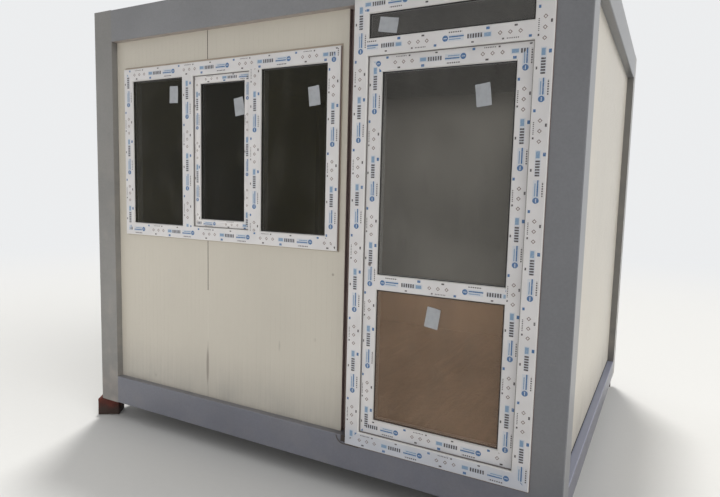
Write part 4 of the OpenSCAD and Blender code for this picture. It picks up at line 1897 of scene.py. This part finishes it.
@dataclass
class SteelFrame:
    """The folded steel frame, and the deck of floor and roof that it carries."""

    purlins: int = 4
    ribs: int = 12
    head_r: float = 0.0045
    head_h: float = 0.004
    head_edge: float = 0.0006
    washer_r: float = 0.009
    washer_t: float = 0.0015

    def build(self) -> None:
        """Dresses frame, floor and roof and adds the roof's screws."""
        dress(POST_PAINT, "front_left_post", "back_left_post", "back_right_post")
        dress(SHADED_POST_PAINT, "front_right_post")
        dress(SHADED_ROOF_PAINT, "front_roof_beam", "back_roof_beam")
        dress(SHADED_SIDE_ROOF_PAINT, "left_roof_beam", "right_roof_beam")
        dress(SILL_PAINT, "front_floor_beam", "back_floor_beam")
        dress(SHADED_SIDE_SILL_PAINT, "left_floor_beam", "right_floor_beam")
        dress(ZINC_SHEET, "floor_joists", "roof_purlins", "roof_sheet")
        dress(FLOOR_BOARD, "floor_board")
        dress(CEILING_BOARD, "ceiling_board")
        self.build_screws()

    def build_screws(self) -> None:
        """Screws the roof sheet down where each rib crosses a purlin."""
        low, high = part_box("roof_sheet")
        along, across = (high.x - low.x) / self.purlins, (high.y - low.y) / self.ribs
        x, y, foot = low.x + along / 2, low.y + across / 2, high.z + self.washer_t
        screw = Bench.settle(Bench.start(
            bpy.ops.mesh.primitive_cylinder_add, "roof_screws", vertices=6,
            radius=self.head_r, depth=self.head_h, location=(x, y, foot + self.head_h / 2),
        ))
        spread = self.washer_r / self.head_r
        with Bench.editing(screw):
            Bench.pick(screw, lambda face: face.normal.z < -FACING)
            bpy.ops.mesh.extrude_region_move(TRANSFORM_OT_translate={"value": (0.0, 0.0, 0.0)})
            bpy.ops.transform.resize(value=(spread, spread, 1.0), center_override=(x, y, foot))
            bpy.ops.mesh.extrude_region_move(
                TRANSFORM_OT_translate={"value": (0.0, 0.0, -self.washer_t)}
            )
        Bench.modify(screw, "BEVEL", width=self.head_edge, segments=1, limit_method="ANGLE")
        Bench.repeat(screw, self.purlins, (along, 0.0, 0.0))
        Bench.repeat(screw, self.ribs, (0.0, across, 0.0))
        fit(screw, ZINC_SHEET)


@dataclass
class CornerBlocks:
    """A worn clay block under each corner, in place of the plain ones.

    Each kind of lump has a size, and its share of the roughness.
    """

    centre: tuple[float, float] = (-1.5275, -1.277)
    turn: float = 34.0
    size: Triple = (0.147, 0.117, 0.1195)
    round_by: float = 0.009
    rough: float = 0.006
    lumps: tuple[tuple[float, float], ...] = ((0.050, 0.7), (0.014, 0.3))
    inset: float = 0.095

    def block(self) -> Piece:
        """Makes one block with rounded, chipped edges.

        Returns:
            The piece.
        """
        centre = (*self.centre, self.size[2] / 2)
        piece = Bench.box("corner_blocks", centre, self.size, self.turn)
        with Bench.editing(piece):
            bpy.ops.mesh.bevel(offset=self.round_by, segments=3)
            bpy.ops.mesh.select_all(action="SELECT")
            bpy.ops.mesh.subdivide(number_cuts=7)
        for scale, share in self.lumps:
            lumps = bpy.data.textures.new(f"lumps_{share}", "CLOUDS")
            lumps.noise_scale = scale
            Bench.modify(
                piece, "DISPLACE", texture=lumps, strength=-self.rough * share, mid_level=0.2,
                texture_coords="LOCAL",
            )
        Bench.soften(piece, 50.0)
        return piece

    def build(self) -> None:
        """Lays a block at each corner, the back right one further in."""
        first = self.block()
        corners = ((-1.0, 1.0, 1.0), (1.0, -1.0, 1.0), (-1.0, -1.0, 1.0))
        twins = [Bench.twin(first, corner) for corner in corners]
        bpy.ops.transform.translate(value=(-self.inset, 0.0, 0.0))
        Bench.settle(twins[-1])
        blocks = Bench.join("corner_blocks", [first, *twins])
        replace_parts(fit(blocks, BLOCK_CLAY), "support_blocks")


@dataclass(frozen=True)
class Lamp:
    """A soft lamp far away: the way to it, its strength and the angle that it fills."""

    name: str
    towards: Triple
    strength: float
    angle: float
    place: Triple = (0.0, 0.0, 0.0)

    def light(self) -> bpy.types.Light:
        """Makes the lamp's light.

        Returns:
            The light.
        """
        light = bpy.data.lights.new(self.name, "SUN")
        light.energy, light.angle = self.strength, math.radians(self.angle)
        return light


@dataclass(frozen=True)
class Softbox(Lamp):
    """A wide, low soft lamp in front of the booth, so that the front fades towards its top."""

    size: tuple[float, float] = (4.0, 0.6)

    def light(self) -> bpy.types.Light:
        """Makes the lamp's light, which spreads by its angle.

        Returns:
            The light.
        """
        light = bpy.data.lights.new(self.name, "AREA")
        light.shape, light.size, light.size_y = "RECTANGLE", *self.size
        light.energy, light.spread = self.strength, math.radians(self.angle)
        return light


@dataclass
class Studio:
    """Camera, lamps, backdrop and floor."""

    lens: float = 28.39
    sensor: float = 36.0
    eye: Triple = (1.86194, -3.87426, 1.61271)
    forward: Triple = (-0.47453706, 0.8742747, -0.10226595)
    right: Triple = (0.87737885, 0.4791464, 0.02500143)
    backdrop: Colour = Colour(0.84, 0.85, 0.86)
    ambient: Colour = Colour(0.245, 0.25, 0.262)
    floor_colour: Colour = Colour(0.68, 0.68, 0.67)
    floor_r: float = 60.0
    fade: tuple[float, float] = (4.5, 13.0)
    lamp_colour: Colour = Colour(1.0, 0.985, 0.955)
    lamps: tuple[Lamp, ...] = (
        Lamp("key", (-0.155, 0.31, 0.94), 2.0, 9.0),
        Lamp("side", (0.80, -0.05, 0.60), 2.0, 70.0),
        Lamp("fill", (-0.75, 0.55, 0.35), 0.8, 60.0),
        Softbox("front", (0.0, -1.0, 0.0), 16.0, 52.0, (-0.9, -8.0, 0.85)),
    )

    def build_camera(self) -> None:
        """Sets the camera where the photo was taken from."""
        data = bpy.data.cameras.new("camera")
        data.lens, data.sensor_width = self.lens, self.sensor
        camera = bpy.data.objects.new("camera", data)
        bpy.context.scene.collection.objects.link(camera)
        right, back = Vector(self.right).normalized(), -Vector(self.forward).normalized()
        up = back.cross(right)
        turn = Matrix((right, up, back)).transposed()
        camera.matrix_world = Matrix.Translation(self.eye) @ turn.to_4x4()
        bpy.context.scene.camera = camera

    def seen(self, net: Net) -> Wire:
        """Gives 1 for rays of the camera, of gloss and through glass, else 0.

        Args:
            net: The nodes to add to.

        Returns:
            The share.
        """
        path = net.node("ShaderNodeLightPath")
        kinds = ("Camera", "Glossy", "Transmission")
        camera, gloss, through = (Wire(net, path.outputs[f"Is {kind} Ray"]) for kind in kinds)
        return net.math("MAXIMUM", net.math("MAXIMUM", camera, gloss), through)

    def build_light(self) -> None:
        """Adds the lamps and the even light of the backdrop."""
        for lamp in self.lamps:
            light = bpy.data.objects.new(lamp.name, lamp.light())
            light.data.color = self.lamp_colour
            light.location = lamp.place
            light.rotation_mode = "QUATERNION"
            light.rotation_quaternion = Vector(lamp.towards).to_track_quat("Z", "Y")
            light.visible_camera = light.visible_glossy = False
            bpy.context.scene.collection.objects.link(light)
        world = bpy.context.scene.world or bpy.data.worlds.new("studio")
        bpy.context.scene.world = world
        world.use_nodes = True
        net = Net(world.node_tree)
        light = net.mix(self.seen(net), self.ambient, self.backdrop)
        sky = net.wire("ShaderNodeBackground", None, {"Color": light, "Strength": 1.0})
        net.node("ShaderNodeOutputWorld", None, {"Surface": sky})

    def build_floor(self) -> None:
        """Lays a pale floor that fades into the backdrop."""
        floor = Bench.start(
            bpy.ops.mesh.primitive_circle_add, "studio_floor", vertices=64,
            radius=self.floor_r, fill_type="NGON", location=(0.0, 0.0, -0.001),
        )
        Bench.settle(floor)
        made = bpy.data.materials.new("studio_floor")
        made.use_nodes = True
        net = Net(made.node_tree)
        far = net.wire(
            "ShaderNodeVectorMath", {"operation": "LENGTH"}, {0: net.place}, output="Value"
        )
        grain = net.noise(30.0, 3.0)
        tone = net.mix(grain, self.floor_colour.times(0.985), self.floor_colour.times(1.015))
        matt = net.wire("ShaderNodeBsdfDiffuse", None, {"Color": tone})
        glow = net.wire("ShaderNodeEmission", None, {"Color": self.backdrop})
        share = far.ramp(*self.fade) * self.seen(net)
        mixed = net.wire("ShaderNodeMixShader", None, {0: share, 1: matt, 2: glow})
        net.node("ShaderNodeOutputMaterial", None, {"Surface": mixed})
        floor.data.materials.append(made)
        bpy.context.scene.view_settings.view_transform = "Standard"


def main() -> None:
    """Builds the studio and every sub-assembly."""
    logging.basicConfig(level=logging.INFO, format="%(message)s")
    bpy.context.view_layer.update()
    studio = Studio()
    studio.build_camera()
    studio.build_light()
    studio.build_floor()
    for assembly in (SteelFrame(), Walls(), WindowUnit(), DoorUnit(), CornerBlocks()):
        assembly.build()
    bpy.ops.object.select_all(action="DESELECT")


if __name__ == "__main__":
    main()
